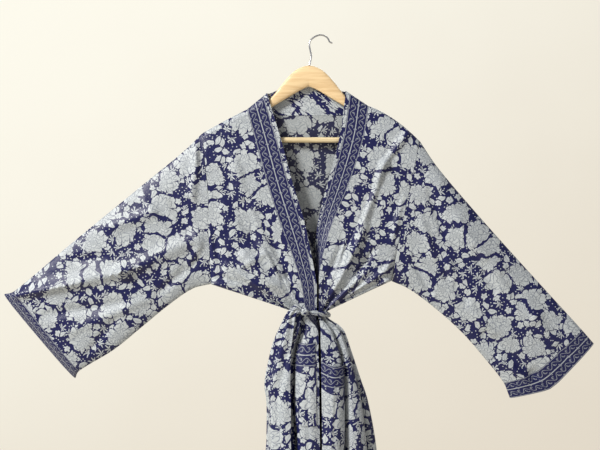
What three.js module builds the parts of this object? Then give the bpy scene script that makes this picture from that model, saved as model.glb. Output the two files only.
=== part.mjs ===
// Kimono robe of printed cotton, its sash tied at the waist, on a wooden hanger.
// Millimetres, +Z up, X to the viewer's right, Y away from the viewer.
// The origin is inside the crown of the hanger's hook, where the robe is held up.

import * as THREE from 'three';

// Cloth
const CLOTH = 1.5;
const SEAM = 0.6;
const BENT_SEAM = 1.8;
const HALF_GAP = 0.15;
const ON_TOP = 0.5;

// Heights of the robe
const WAIST_Z = -550;
const HEM_Z = -1314;
const UNDERARM_Z = -496;
const ARMHOLE_HALF = 14;
const SHOULDER_ROUND = 10;
const SIDE_ROUND = 14;
const CHEST_ROUND = 56;
const CREASE_FADE = 40;
const NECK_DEPTH = 9.5;

// Half thickness of the worn body, by height: in front on each side, and behind
const BODY = [
  { z: -550, left: 22, right: 20, back: 22 },
  { z: -496, left: 22, right: 18, back: 17 },
  { z: -420, left: 18, right: 15, back: 14 },
  { z: -300, left: 14, right: 12, back: 12 },
  { z: -200, left: 11, right: 10.5, back: 10 },
  { z: -110, left: 9.5, right: 9.5, back: 9.5 },
];

// Armhole seams, by height
const ARMHOLE_LEFT = [
  { z: -496, x: -218 },
  { z: -440, x: -219 },
  { z: -384, x: -222 },
  { z: -320, x: -222 },
  { z: -258, x: -228 },
  { z: -194, x: -234 },
];
const ARMHOLE_RIGHT = [
  { z: -490, x: 142 },
  { z: -440, x: 150 },
  { z: -350, x: 168 },
  { z: -270, x: 185 },
  { z: -210, x: 199 },
];

// Neckband, by height: its seam on the front, its free edge, and how far that edge turns back
const BAND_LEFT = [
  { z: -550, seam: -28, free: -10, turn: 0 },
  { z: -504, seam: -35, free: -9, turn: 0 },
  { z: -434, seam: -57, free: -20, turn: -1 },
  { z: -365, seam: -83, free: -33, turn: -2 },
  { z: -296, seam: -105, free: -54, turn: -2 },
  { z: -202, seam: -131, free: -79, turn: -1 },
  { z: -147, seam: -146, free: -96, turn: 0 },
];
const BAND_RIGHT = [
  { z: -550, seam: -4, free: -5, turn: 20 },
  { z: -504, seam: -3, free: -6, turn: 24 },
  { z: -468, seam: -1, free: -10, turn: 25 },
  { z: -410, seam: 13, free: -9, turn: 16 },
  { z: -365, seam: 28, free: -3, turn: 9 },
  { z: -296, seam: 57, free: 14, turn: 3 },
  { z: -202, seam: 87, free: 39, turn: 0 },
  { z: -140, seam: 97, free: 47, turn: 0 },
];
const NECK_LEFT = { seamX: -146, seamZ: -147, freeX: -106, freeZ: -114, bow: 1 };
const NECK_RIGHT = { seamX: 97, seamZ: -140, freeX: 52, freeZ: -110, bow: 8.5 };
const NECK_SEAM_Z = -158;
const NECK_TOP_Z = -103;
const NECK_CORNER = 46;
const NECK_ROUND = 12;
const NECK_LEVEL = 1.7;
const UNDERARM_LEVEL = 1.02;

// Skirt, by height: its sides, half depth, groove and gather depths, the angles where the two
// fronts end, how far their edge turns in, how the grooves crowd to the sides, and the band's reach
const SKIRT = [
  { z: -1314, left: -158, right: 150, half: 66, groove: 30, gather: 0, openLeft: 2, openRight: 4.2,
    turn: 12, crowdLeft: 1, crowdRight: 1, reach: 50, point: 90 },
  { z: -1050, left: -126, right: 132, half: 62, groove: 30, gather: 0, openLeft: 0, openRight: 2.4,
    turn: 12, crowdLeft: 1, crowdRight: 1, reach: 50, point: 90 },
  { z: -828, left: -101, right: 112, half: 57, groove: 28, gather: 0, openLeft: -2, openRight: 1,
    turn: 11, crowdLeft: 1, crowdRight: 1, reach: 48, point: 90 },
  { z: -728, left: -98, right: 95, half: 49, groove: 24, gather: 0, openLeft: 2.5, openRight: 6,
    turn: 9, crowdLeft: 1.1, crowdRight: 0.85, reach: 40, point: 90 },
  { z: -678, left: -91, right: 79, half: 43, groove: 20, gather: 0.4, openLeft: 6, openRight: 10.5,
    turn: 8, crowdLeft: 1.2, crowdRight: 0.66, reach: 34, point: 90 },
  { z: -628, left: -79, right: 62, half: 35, groove: 15, gather: 1.5, openLeft: 8, openRight: 13.5,
    turn: 6, crowdLeft: 1.4, crowdRight: 0.5, reach: 27, point: 90 },
  { z: -590, left: -67, right: 48, half: 27, groove: 11, gather: 3.5, openLeft: 9, openRight: 16,
    turn: 4, crowdLeft: 1.3, crowdRight: 0.7, reach: 21, point: 90 },
  { z: -577, left: -62, right: 36, half: 23.5, groove: 9, gather: 4, openLeft: 7, openRight: 20,
    turn: 3, crowdLeft: 1.2, crowdRight: 0.85, reach: 19, point: 88 },
  { z: -564, left: -58.5, right: 16, half: 20.5, groove: 8, gather: 4, openLeft: 2, openRight: 28,
    turn: 1, crowdLeft: 1, crowdRight: 1, reach: 17, point: 62 },
  { z: -550, left: -56, right: 13, half: 19, groove: 7, gather: 3.5, openLeft: -9.2, openRight: 31,
    turn: 0, crowdLeft: 1, crowdRight: 1, reach: 17, point: 0 },
];

// Angles of the skirt's grooves: 0 in front, 90 at the viewer's right
const GROOVES = [0, 30, 66, 100, 140, 180, 220, 260, 294, 326, 360];
const LOBES = GROOVES.length - 1;
const LOBE_PINCH = 0.85;
const LOBE_SHARPNESS = 1.5;
const SIDE_LOBE = 2.616;
const EDGE_LOBE = 0.08;

// Creases of the worn body and sleeves in the front view: a positive height stands forward
const CREASES = [
  { x0: 176, z0: -192, x1: 126, z1: -258, width: 9, height: 4 },
  { x0: 126, z0: -258, x1: 64, z1: -428, width: 11, height: 7 },
  { x0: 64, z0: -428, x1: 20, z1: -528, width: 8, height: 7 },
  { x0: 104, z0: -300, x1: 34, z1: -455, width: 12, height: -3 },
  { x0: -116, z0: -358, x1: -66, z1: -478, width: 9, height: -4 },
  { x0: -66, z0: -478, x1: -40, z1: -528, width: 7, height: -4 },
  { x0: -150, z0: -440, x1: -62, z1: -524, width: 11, height: 5 },
  { x0: -154, z0: -460, x1: -112, z1: -436, width: 6, height: 3 },
  { x0: -246, z0: -212, x1: -252, z1: -322, width: 8, height: 4 },
  { x0: -602, z0: -514, x1: -390, z1: -470, width: 15, height: 7 },
  { x0: -390, z0: -470, x1: -250, z1: -408, width: 17, height: 6 },
  { x0: -416, z0: -382, x1: -334, z1: -354, width: 14, height: 4 },
  { x0: 252, z0: -478, x1: 290, z1: -524, width: 9, height: -3 },
  { x0: 330, z0: -596, x1: 424, z1: -675, width: 14, height: -4 },
  { x0: 424, z0: -675, x1: 463, z1: -704, width: 12, height: -4 },
  { x0: 232, z0: -300, x1: 420, z1: -560, width: 26, height: 4 },
  { x0: 90, z0: -470, x1: 24, z1: -530, width: 8, height: 4 },
];

// Sleeves, by share of length: the upper and lower edge, half thickness, how far back the
// middle lies, and the peak that the right cuff's mouth makes downward
const SLEEVE_LEFT = [
  { v: 0, topX: -234.6, topZ: -194, lowX: -218.6, lowZ: -496, half: 14, shift: 0, peak: 0, at: 0.5 },
  { v: 0.1, topX: -272, topZ: -230, lowX: -254, lowZ: -505, half: 14, shift: 0, peak: 0, at: 0.5 },
  { v: 0.3, topX: -346, topZ: -291, lowX: -304, lowZ: -539, half: 14, shift: 0, peak: 0, at: 0.5 },
  { v: 0.5, topX: -428, topZ: -358, lowX: -354, lowZ: -580, half: 14, shift: 0, peak: 0, at: 0.5 },
  { v: 0.7, topX: -512, topZ: -427, lowX: -412, lowZ: -627, half: 14, shift: 1, peak: 0, at: 0.5 },
  { v: 0.92, topX: -611, topZ: -509, lowX: -482, lowZ: -670, half: 13, shift: 5, peak: 0, at: 0.5 },
  { v: 1, topX: -639, topZ: -518, lowX: -495, lowZ: -688, half: 12, shift: 20, peak: 0, at: 0.5 },
];
const SLEEVE_RIGHT = [
  { v: 0, topX: 199.6, topZ: -210, lowX: 142.6, lowZ: -490, half: 14, shift: 0, peak: 0, at: 0.4 },
  { v: 0.1, topX: 234, topZ: -261, lowX: 178, lowZ: -506, half: 14, shift: 0, peak: 0, at: 0.4 },
  { v: 0.3, topX: 309, topZ: -350, lowX: 232, lowZ: -546, half: 14, shift: 0, peak: 0, at: 0.4 },
  { v: 0.5, topX: 381, topZ: -431, lowX: 283, lowZ: -592, half: 14, shift: 0, peak: 0, at: 0.4 },
  { v: 0.7, topX: 450, topZ: -507, lowX: 327, lowZ: -642, half: 14, shift: 0, peak: 8, at: 0.38 },
  { v: 0.92, topX: 523, topZ: -587, lowX: 367, lowZ: -693, half: 13, shift: 0, peak: 20, at: 0.38 },
  { v: 1, topX: 548, topZ: -615, lowX: 380, lowZ: -724, half: 12, shift: 2, peak: 33, at: 0.48 },
];
const SLEEVE_ROWS = [0, 0.04, 0.1, 0.18, 0.27, 0.36, 0.45, 0.54, 0.63, 0.72, 0.8, 0.87, 0.92];
const CUFF_ROWS = [0.9215, 0.96, 1];
const SLEEVE_SIDE_COLUMNS = 10;
const SLEEVE_HEAD = 0.3;
const SLEEVE_EDGE = 8;
const CREASE_START = 0.05;

// Pockets: share of the front's width, and heights of the mouth, the band's foot and the pocket's
const POCKET_LEFT = { from: 0.7, to: 0.97, top: -608, band: -653, foot: -768, gape: 2, sag: 3 };
const POCKET_RIGHT = { from: 0.68, to: 1, top: -644, band: -689, foot: -804, gape: 7, sag: 12 };

// Rows of the panels: shares of the yoke between waist and underarm, and between underarm and top
const WAIST_ROWS = [0.14, 0.3, 0.48, 0.66, 0.84, 1];
const TOP_ROWS = [0.12, 0.25, 0.38, 0.52, 0.66, 0.8, 0.9, 0.955, 0.98, 0.993, 1];
const SKIRT_ROWS = [-1314, -1200, -1080, -960, -870, -768, -710, -653, -608, -585, -575, -564];
const SKIRT_ROWS_RIGHT = [-1314, -1200, -1080, -960, -870, -804, -746, -689, -644, -605, -585, -575, -564];
const FRONT_COLUMNS = 24;
const BACK_COLUMNS = 36;
const BAND_COLUMNS = 3;

// Sash: its twisted stretch round the waist, the knot, and the two tails, each by the outer edge,
// the inner edge and how far the middle stands out
const ROPE = { thick: 7, high: 11, clear: 1.9, frontZ: -551, sideZ: -557.5, turns: 5, pinch: 0.18,
  steps: 44, sides: 10 };
const KNOT = { x: -31, y: -33.1, z: -548, halfX: 7, halfY: 6, halfZ: 8 };
const TAIL_FRONT = [
  { x0: -38.4, y0: -33, z0: -539, x1: -38.2, y1: -34, z1: -546.5, out: 0 },
  { x0: -48, y0: -34, z0: -534, x1: -44, y1: -36, z1: -547, out: 2 },
  { x0: -58, y0: -33, z0: -541, x1: -48, y1: -38, z1: -553, out: 3 },
  { x0: -67, y0: -29, z0: -553, x1: -50, y1: -38, z1: -562, out: 4 },
  { x0: -76, y0: -24, z0: -571, x1: -52, y1: -38, z1: -577, out: 5 },
  { x0: -90, y0: -20, z0: -602, x1: -55, y1: -38, z1: -602, out: 6 },
  { x0: -98, y0: -18, z0: -628, x1: -58, y1: -38, z1: -628, out: 7 },
  { x0: -108, y0: -16, z0: -675, x1: -59, y1: -43, z1: -675, out: 8 },
  { x0: -110, y0: -16, z0: -700, x1: -59, y1: -46, z1: -700, out: 8 },
  { x0: -106, y0: -16, z0: -728, x1: -58, y1: -49, z1: -728, out: 9 },
  { x0: -106, y0: -17, z0: -790, x1: -58, y1: -53, z1: -790, out: 10 },
  { x0: -108, y0: -18, z0: -828, x1: -58, y1: -54, z1: -828, out: 10 },
  { x0: -123, y0: -20, z0: -960, x1: -68, y1: -59, z1: -960, out: 10 },
  { x0: -133, y0: -30, z0: -1100, x1: -77, y1: -62, z1: -1100, out: 8 },
  { x0: -139, y0: -40, z0: -1240, x1: -86, y1: -66, z1: -1240, out: 6 },
];
const TAIL_BACK = [
  { x0: -46, y0: -23.9, z0: -554, x1: -38, y1: -27.0, z1: -555, out: 0 },
  { x0: -51, y0: -28, z0: -572, x1: -40, y1: -31, z1: -574, out: 0 },
  { x0: -55, y0: -28, z0: -590, x1: -45, y1: -32, z1: -592, out: 1 },
  { x0: -70, y0: -24, z0: -630, x1: -56, y1: -30, z1: -630, out: 2 },
  { x0: -86, y0: -22, z0: -680, x1: -62, y1: -36.5, z1: -680, out: 3 },
  { x0: -92, y0: -22, z0: -728, x1: -62, y1: -42, z1: -728, out: 4 },
  { x0: -96, y0: -22, z0: -828, x1: -64, y1: -47, z1: -828, out: 5 },
  { x0: -108, y0: -24, z0: -960, x1: -72, y1: -51, z1: -960, out: 5 },
  { x0: -126, y0: -38, z0: -1180, x1: -84, y1: -57, z1: -1180, out: 4 },
];
const TAIL_COLUMNS = 4;

// Hanger: wood from the middle to one tip, in the front view, with a bar and a wire hook
const HANGER = { x: -22, depth: 11, bevel: 3, barRadius: 5.5, barZ: -208, barHalf: 186.3 };
const HANGER_OUTLINE = [
  [0, -59], [14, -62], [30, -71], [50, -92], [76, -124], [104, -146], [138, -161], [160, -170],
  [186, -182], [196, -190], [203, -198], [206, -207], [204, -215], [198, -220], [189, -219], [187, -214],
  [187, -200], [140, -179], [80, -146], [0, -101],
];
const WIRE = 1.7;
const HOOK = [
  [-21.4, -58.6], [-18.4, -46], [-17.6, -38], [-19.4, -29.4], [-21.2, -18.8], [-19.4, -9.4],
  [-11.4, -2.2], [-3.6, 1.2], [1.2, 1.9], [7.8, 0.6], [14.6, -3.6], [17.4, -8], [19.4, -12],
  [25, -14.6],
];

const clamp01 = (t) => Math.min(1, Math.max(0, t));
const mix = (a, b, t) => a + (b - a) * t;
const ease = (t) => clamp01(t) ** 2 * (3 - 2 * clamp01(t));
const radians = (degrees) => (degrees * Math.PI) / 180;
const tip = (table) => table[table.length - 1];

// A column of a table at x, by a smooth curve through its rows, which lie in order of the key
function read(table, key, x, column) {
  const way = Math.sign(table[1][key] - table[0][key]);
  let i = 0;
  while (i < table.length - 2 && (x - table[i + 1][key]) * way > 0) i += 1;
  const slope = (k) => {
    const a = table[Math.max(0, k - 1)];
    const b = table[Math.min(table.length - 1, k + 1)];
    return (b[column] - a[column]) / (b[key] - a[key]);
  };
  const [a, b] = [table[i], table[i + 1]];
  const step = b[key] - a[key];
  const t = clamp01((x - a[key]) / step);
  const bend = t * (1 - t) * step;
  return mix(a[column], b[column], t * t * (3 - 2 * t))
    + bend * ((1 - t) * slope(i) - t * slope(i + 1));
}

// Rise of all creases at a point of the front view
function creases(x, z) {
  let rise = 0;
  for (const c of CREASES) {
    const dx = c.x1 - c.x0;
    const dz = c.z1 - c.z0;
    const t = ((x - c.x0) * dx + (z - c.z0) * dz) / (dx * dx + dz * dz);
    const near = clamp01(t);
    const away = Math.hypot(x - c.x0 - near * dx, z - c.z0 - near * dz) / c.width;
    rise += c.height * Math.exp(-away * away);
  }
  return rise;
}

// Quarter-round closing of a flat hollow, 0 at its edge and 1 from the given distance on
const closing = (distance, round) => Math.sqrt(1 - (1 - clamp01(distance / round)) ** 2);
// Lens section of an armhole or sleeve, 0 at both edges
const lens = (q) => Math.sqrt(Math.max(0, 1 - Math.abs(2 * q - 1) ** 3));

// Outer point of the skirt at a height: lobe counts the lobes from the front opening to the right
function ring(lobe, z) {
  const at = (column) => read(SKIRT, 'z', z, column);
  const index = Math.min(LOBES - 1, Math.floor(lobe));
  const u = lobe - index;
  const atEdge = (index === 0 && u < 0.5) || (index === LOBES - 1 && u > 0.5);
  const pinched = atEdge ? u : u - (LOBE_PINCH / (2 * Math.PI)) * Math.sin(2 * Math.PI * u);
  let angle = mix(GROOVES[index], GROOVES[index + 1], pinched);
  if (angle < 90) {
    angle = mix(at('openRight'), 90, (angle / 90) ** at('crowdRight'));
  } else if (angle > 270) {
    angle = mix(270, 360 + at('openLeft'), ((angle - 270) / 90) ** at('crowdLeft'));
  }
  const fall = ((1 + Math.cos(2 * Math.PI * u)) / 2) ** LOBE_SHARPNESS;
  const gathers = atEdge ? 0 : (1 - Math.cos(4 * Math.PI * u)) / 2;
  const depth = at(atEdge ? 'turn' : 'groove') * fall + at('gather') * gathers;
  const across = (at('right') - at('left')) / 2;
  const deep = at('half');
  const turn = radians(angle);
  const normal = new THREE.Vector2(Math.sin(turn) / across, -Math.cos(turn) / deep).normalize();
  const middle = (at('right') + at('left')) / 2;
  return new THREE.Vector3(
    middle + across * Math.sin(turn) - depth * normal.x,
    -deep * Math.cos(turn) - depth * normal.y,
    z,
  );
}

// Seam line, armhole line and depth of a front. Level 0 is the waist, 1 the underarm, 2 the top
function frontPoint(side, s, level) {
  const left = side === 'left';
  const [armhole, band, neck] = left
    ? [ARMHOLE_LEFT, BAND_LEFT, NECK_LEFT] : [ARMHOLE_RIGHT, BAND_RIGHT, NECK_RIGHT];
  const lobe = left ? mix(LOBES - SIDE_LOBE, LOBES - EDGE_LOBE, s) : mix(SIDE_LOBE, EDGE_LOBE, s);
  if (level < 0) return ring(lobe, mix(WAIST_Z, HEM_Z, -level));
  const q = Math.max(0, level - 1);
  const lowZ = armhole[0].z;
  const tipZ = tip(armhole).z;
  const sideZ = mix(lowZ, tipZ, q);
  const seamZ = mix(lowZ, neck.seamZ, q);
  const x = mix(read(armhole, 'z', sideZ, 'x'), read(band, 'z', seamZ, 'seam'), s);
  const z = mix(sideZ, seamZ, s) + q * neck.bow * 4 * s * (1 - s);
  const edge = HALF_GAP + ARMHOLE_HALF * lens(q) * (level > 1 ? 1 : 0);
  const fromSide = Math.abs(x - read(armhole, 'z', sideZ, 'x'));
  const fromTop = (1 - q) * (mix(tipZ, neck.seamZ, s) - lowZ);
  const full = read(BODY, 'z', z, side);
  const inner = mix(edge, full, closing(fromSide, level > UNDERARM_LEVEL ? CHEST_ROUND : SIDE_ROUND));
  const rise = creases(x, z) * closing(fromTop, CREASE_FADE) * ease(fromSide / SIDE_ROUND);
  const depth = HALF_GAP + (Math.max(inner + rise, edge) - HALF_GAP) * closing(fromTop, SHOULDER_ROUND);
  const flat = new THREE.Vector3(x, -depth, z);
  return level >= 1 ? flat : ring(lobe, WAIST_Z).lerp(flat, level);
}

// Height of the back's top edge, along the shoulders and the neck seam
function backTop(x) {
  for (const [armhole, neck] of [[ARMHOLE_LEFT, NECK_LEFT], [ARMHOLE_RIGHT, NECK_RIGHT]]) {
    const end = tip(armhole);
    const t = (x - end.x) / (neck.seamX - end.x);
    if (t < 1) return mix(end.z, neck.seamZ, t) + neck.bow * 4 * t * (1 - t);
  }
  const fromLeft = mix(NECK_LEFT.seamZ, NECK_SEAM_Z, ease((x - NECK_LEFT.seamX) / NECK_CORNER));
  const fromRight = mix(NECK_RIGHT.seamZ, NECK_SEAM_Z, ease((NECK_RIGHT.seamX - x) / NECK_CORNER));
  return Math.max(fromLeft, fromRight);
}

// How far behind the middle the neck seam lies, which is nothing at the two shoulders
function neckDepth(x, from, to, corner) {
  return mix(HALF_GAP, NECK_DEPTH, closing(Math.min(x - from, to - x), corner));
}

function backPoint(s, level) {
  const lobe = mix(LOBES - SIDE_LOBE, SIDE_LOBE, s);
  if (level < 0) return ring(lobe, mix(WAIST_Z, HEM_Z, -level));
  const q = Math.max(0, level - 1);
  const lowZ = mix(ARMHOLE_LEFT[0].z, ARMHOLE_RIGHT[0].z, s);
  const leftX = read(ARMHOLE_LEFT, 'z', mix(ARMHOLE_LEFT[0].z, tip(ARMHOLE_LEFT).z, q), 'x');
  const rightX = read(ARMHOLE_RIGHT, 'z', mix(ARMHOLE_RIGHT[0].z, tip(ARMHOLE_RIGHT).z, q), 'x');
  const x = mix(leftX, rightX, s);
  const topX = mix(tip(ARMHOLE_LEFT).x, tip(ARMHOLE_RIGHT).x, s);
  const z = mix(lowZ, backTop(topX), q);
  const edge = HALF_GAP + ARMHOLE_HALF * lens(q) * (level > 1 ? 1 : 0);
  const fromSide = Math.min(x - leftX, rightX - x);
  const fromTop = (1 - q) * (backTop(topX) - lowZ);
  const full = read(BODY, 'z', z, 'back');
  const inner = mix(edge, full, closing(fromSide, level > UNDERARM_LEVEL ? CHEST_ROUND : SIDE_ROUND));
  const top = neckDepth(topX, NECK_LEFT.seamX, NECK_RIGHT.seamX, NECK_ROUND);
  const flat = new THREE.Vector3(x, mix(top, inner, closing(fromTop, SHOULDER_ROUND)), z);
  return level >= 1 ? flat : ring(lobe, WAIST_Z).lerp(flat, level);
}

// Point of a neckband at a share of its width, from the seam with the front to its free edge
function bandPoint(side, s, level) {
  const left = side === 'left';
  const [band, neck] = left ? [BAND_LEFT, NECK_LEFT] : [BAND_RIGHT, NECK_RIGHT];
  const seam = frontPoint(side, 1, level);
  const way = left ? 1 : -1;
  if (level < 0) {
    const z = mix(WAIST_Z, HEM_Z, -level);
    const point = radians(left ? read(SKIRT, 'z', z, 'point') : 90);
    const reach = mix(BENT_SEAM, read(SKIRT, 'z', z, 'reach'), s);
    return seam.add(new THREE.Vector3(way * reach * Math.cos(point), reach * Math.sin(point), 0));
  }
  const top = clamp01((level - NECK_LEVEL) / (2 - NECK_LEVEL)) ** 2;
  const across = read(band, 'z', seam.z, 'free') - read(band, 'z', seam.z, 'seam');
  const low = new THREE.Vector2(across, 0);
  const high = new THREE.Vector2(neck.freeX - neck.seamX, neck.freeZ - neck.seamZ);
  const step = low.lerp(high, top);
  const fromTop = (2 - level) * (neck.seamZ - UNDERARM_Z);
  const turn = read(band, 'z', seam.z, 'turn') * closing(fromTop, CREASE_FADE);
  const whole = new THREE.Vector3(step.x, turn, step.y);
  const gap = mix(SEAM, BENT_SEAM, Math.abs(turn) / whole.length());
  return seam.addScaledVector(whole, mix(gap / whole.length(), 1, s));
}

// Point of the back neckband, from the neck seam up to its free edge
function backBandPoint(s, up) {
  const lowX = mix(NECK_LEFT.seamX, NECK_RIGHT.seamX, s);
  const highX = mix(NECK_LEFT.freeX, NECK_RIGHT.freeX, s);
  const rise = (edgeX, edgeZ) => mix(edgeZ, NECK_TOP_Z, ease(Math.abs(highX - edgeX) / NECK_CORNER));
  const highZ = s < 0.5 ? rise(NECK_LEFT.freeX, NECK_LEFT.freeZ) : rise(NECK_RIGHT.freeX, NECK_RIGHT.freeZ);
  const lowY = neckDepth(lowX, NECK_LEFT.seamX, NECK_RIGHT.seamX, NECK_ROUND);
  const highY = neckDepth(highX, NECK_LEFT.freeX, NECK_RIGHT.freeX, NECK_ROUND);
  const z = mix(backTop(lowX), highZ, up) + 2 * SEAM * (1 - up);
  return new THREE.Vector3(mix(lowX, highX, up), mix(lowY, highY, up), z);
}

// Point of a sleeve: q is 0 at the lower edge and 1 at the upper one, facing is -1 in front
function sleevePoint(side, q, v, facing) {
  const left = side === 'left';
  const table = left ? SLEEVE_LEFT : SLEEVE_RIGHT;
  const armhole = left ? ARMHOLE_LEFT : ARMHOLE_RIGHT;
  const at = (column) => read(table, 'v', v, column);
  const straight = mix(at('lowX'), at('topX'), q);
  const armholeZ = mix(armhole[0].z, tip(armhole).z, q);
  const atArmhole = mix(armhole[0].x, tip(armhole).x, q);
  const curve = (read(armhole, 'z', armholeZ, 'x') - atArmhole) * (1 - ease(v / SLEEVE_HEAD));
  const peak = at('peak') * (q < at('at') ? q / at('at') : (1 - q) / (1 - at('at')));
  const x = straight + curve;
  const z = mix(at('lowZ'), at('topZ'), q) - peak;
  const section = at('half') * lens(q);
  const rise = facing < 0 ? creases(x, z) * ease(section / SLEEVE_EDGE) * ease(v / CREASE_START) : 0;
  return new THREE.Vector3(x, at('shift') + facing * (section + rise), z);
}

const shares = (count) => Array.from({ length: count + 1 }, (_, i) => i / count);

// Unit normals of a grid, to the side from which its columns run to the right as the rows go up
function gridNormals(points, round) {
  const last = points.length - 1;
  const width = points[0].length;
  return points.map((row, i) => row.map((_, j) => {
    const before = round ? (j + width - 1) % width : Math.max(0, j - 1);
    const after = round ? (j + 1) % width : Math.min(width - 1, j + 1);
    const along = row[after].clone().sub(row[before]);
    const up = points[Math.min(last, i + 1)][j].clone().sub(points[Math.max(0, i - 1)][j]);
    return along.cross(up).normalize();
  }));
}

// Grid of cloth: its points in rows, with their normals
function cloth(points, round = false) {
  return { points, normals: gridNormals(points, round), round };
}

// Rows and columns picked from a cloth
function pick(whole, rows, columns) {
  const picked = (table) => rows.map((i) => columns.map((j) => table[i][j].clone()));
  return { points: picked(whole.points), normals: picked(whole.normals), round: whole.round };
}

// Gives two edges of a seam the same normals, so that their walls end along one plane
function matchSeam(normalsA, normalsB) {
  normalsA.forEach((a, i) => {
    a.add(normalsB[i]).normalize();
    normalsB[i].copy(a);
  });
}

function solid(positions, index) {
  const geometry = new THREE.BufferGeometry();
  geometry.setAttribute('position', new THREE.Float32BufferAttribute(positions, 3));
  geometry.setIndex(index);
  return geometry;
}

// Closed wall between a cloth moved out by one distance and by another along its normals.
// Hold keeps a moved point on its own side of a seam
function wall({ points, normals, round }, inner, outer, hold = (p) => p) {
  const moved = (by) => points.map((row, i) => row.map((p, j) => (
    hold(p.clone().addScaledVector(normals[i][j], by)))));
  const rows = points.length;
  const width = points[0].length;
  const count = rows * width;
  const index = [];
  const face = (a, b, c, d) => index.push(a, b, c, a, c, d);
  const cells = round ? width : width - 1;
  for (let i = 0; i < rows - 1; i += 1) {
    for (let j = 0; j < cells; j += 1) {
      const a = i * width + j;
      const b = i * width + ((j + 1) % width);
      face(a, b, b + width, a + width);
      face(count + b, count + a, count + a + width, count + b + width);
    }
  }
  const top = (rows - 1) * width;
  for (let j = 0; j < cells; j += 1) {
    const next = (j + 1) % width;
    face(count + j, count + next, next, j);
    face(top + j, top + next, count + top + next, count + top + j);
  }
  for (let i = 0; i < rows - 1 && !round; i += 1) {
    const a = i * width;
    const b = a + width;
    face(count + a, a, b, count + b);
    face(b - 1, count + b - 1, count + b + width - 1, b + width - 1);
  }
  return solid([moved(outer), moved(inner)].flat(2).flatMap((p) => [p.x, p.y, p.z]), index);
}

const inFront = (p) => p.setY(Math.min(p.y, -HALF_GAP));
const behind = (p) => p.setY(Math.max(p.y, HALF_GAP));
const nearTopInFront = (p) => (p.z > NECK_SEAM_Z ? inFront(p) : p);

// Levels of a panel's rows, from the hem up
const levels = (skirtRows) => [
  ...skirtRows.map((z) => (z - WAIST_Z) / (WAIST_Z - HEM_Z)),
  0,
  ...WAIST_ROWS,
  ...TOP_ROWS.map((q) => 1 + q),
];

// One front with its neckband as one cloth, whose columns run to the viewer's right
function frontCloth(side, skirtRows) {
  const places = [
    ...shares(FRONT_COLUMNS).map((s) => (level) => frontPoint(side, s, level)),
    ...shares(BAND_COLUMNS).map((s) => (level) => bandPoint(side, s, level)),
  ];
  if (side === 'right') places.reverse();
  const whole = cloth(levels(skirtRows).map((level) => places.map((place) => place(level))));
  const order = [...places.keys()];
  if (side === 'right') order.reverse();
  const front = order.slice(0, FRONT_COLUMNS + 1);
  const band = order.slice(FRONT_COLUMNS + 1);
  const edge = (j) => whole.normals.map((row) => row[j]);
  matchSeam(edge(front[FRONT_COLUMNS]), edge(band[0]));
  const sorted = (columns) => [...columns].sort((a, b) => a - b);
  return { whole, front: sorted(front), band: sorted(band) };
}

// Patch that lies on a front, from the front's own rows and columns between two heights
function pocketPatch(side, sheet, skirtRows, pocket, from, to) {
  const rows = [...skirtRows.keys()].filter((i) => skirtRows[i] >= to && skirtRows[i] <= from);
  const low = Math.ceil(pocket.from * FRONT_COLUMNS);
  const high = Math.floor(pocket.to * FRONT_COLUMNS);
  const columns = sheet.front.filter((_, i) => {
    const place = side === 'left' ? i : FRONT_COLUMNS - i;
    return place >= low && place <= high;
  });
  const patch = pick(sheet.whole, rows, columns);
  patch.points.forEach((row, i) => row.forEach((p, j) => {
    const across = (2 * j) / (columns.length - 1) - 1;
    const open = clamp01((skirtRows[rows[i]] - pocket.foot) / (pocket.top - pocket.foot));
    const slack = (1 - across * across) * open * open;
    p.addScaledVector(patch.normals[i][j], pocket.gape * slack);
    p.z -= pocket.sag * slack;
    if (skirtRows[rows[i]] === from && from !== pocket.top) p.z -= SEAM;
  }));
  return wall(patch, ON_TOP, ON_TOP + CLOTH);
}

// A sleeve and its cuff as one tube
function sleeveTubes(side) {
  const places = [
    ...shares(SLEEVE_SIDE_COLUMNS).slice(0, -1).map((t) => ({ t, facing: -1 })),
    ...shares(SLEEVE_SIDE_COLUMNS).slice(1).reverse().map((t) => ({ t, facing: 1 })),
  ];
  if (side === 'left') places.reverse();
  const rows = [...SLEEVE_ROWS, ...CUFF_ROWS];
  const tube = cloth(rows.map((v) => places.map(({ t, facing }) => (
    sleevePoint(side, (1 - Math.cos(Math.PI * t)) / 2, v, facing)))), true);
  const last = SLEEVE_ROWS.length - 1;
  matchSeam(tube.normals[last], tube.normals[last + 1]);
  const columns = [...places.keys()];
  const part = (from, to) => wall(pick(tube, [...rows.keys()].slice(from, to), columns), -CLOTH, 0);
  return [part(0, last + 1), part(last + 1)];
}

// Tail of the sash: a ribbon through its sections, whose middle stands out
function tail(table, columnCount) {
  const points = table.map((c) => shares(columnCount).map((s) => {
    const outward = new THREE.Vector3(c.y1 - c.y0, c.x0 - c.x1, 0).normalize();
    const p = new THREE.Vector3(c.x0, c.y0, c.z0).lerp(new THREE.Vector3(c.x1, c.y1, c.z1), s);
    return p.addScaledVector(outward, c.out * 4 * s * (1 - s));
  }));
  return wall(cloth(points.reverse()), -CLOTH / 2, CLOTH / 2);
}

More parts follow.
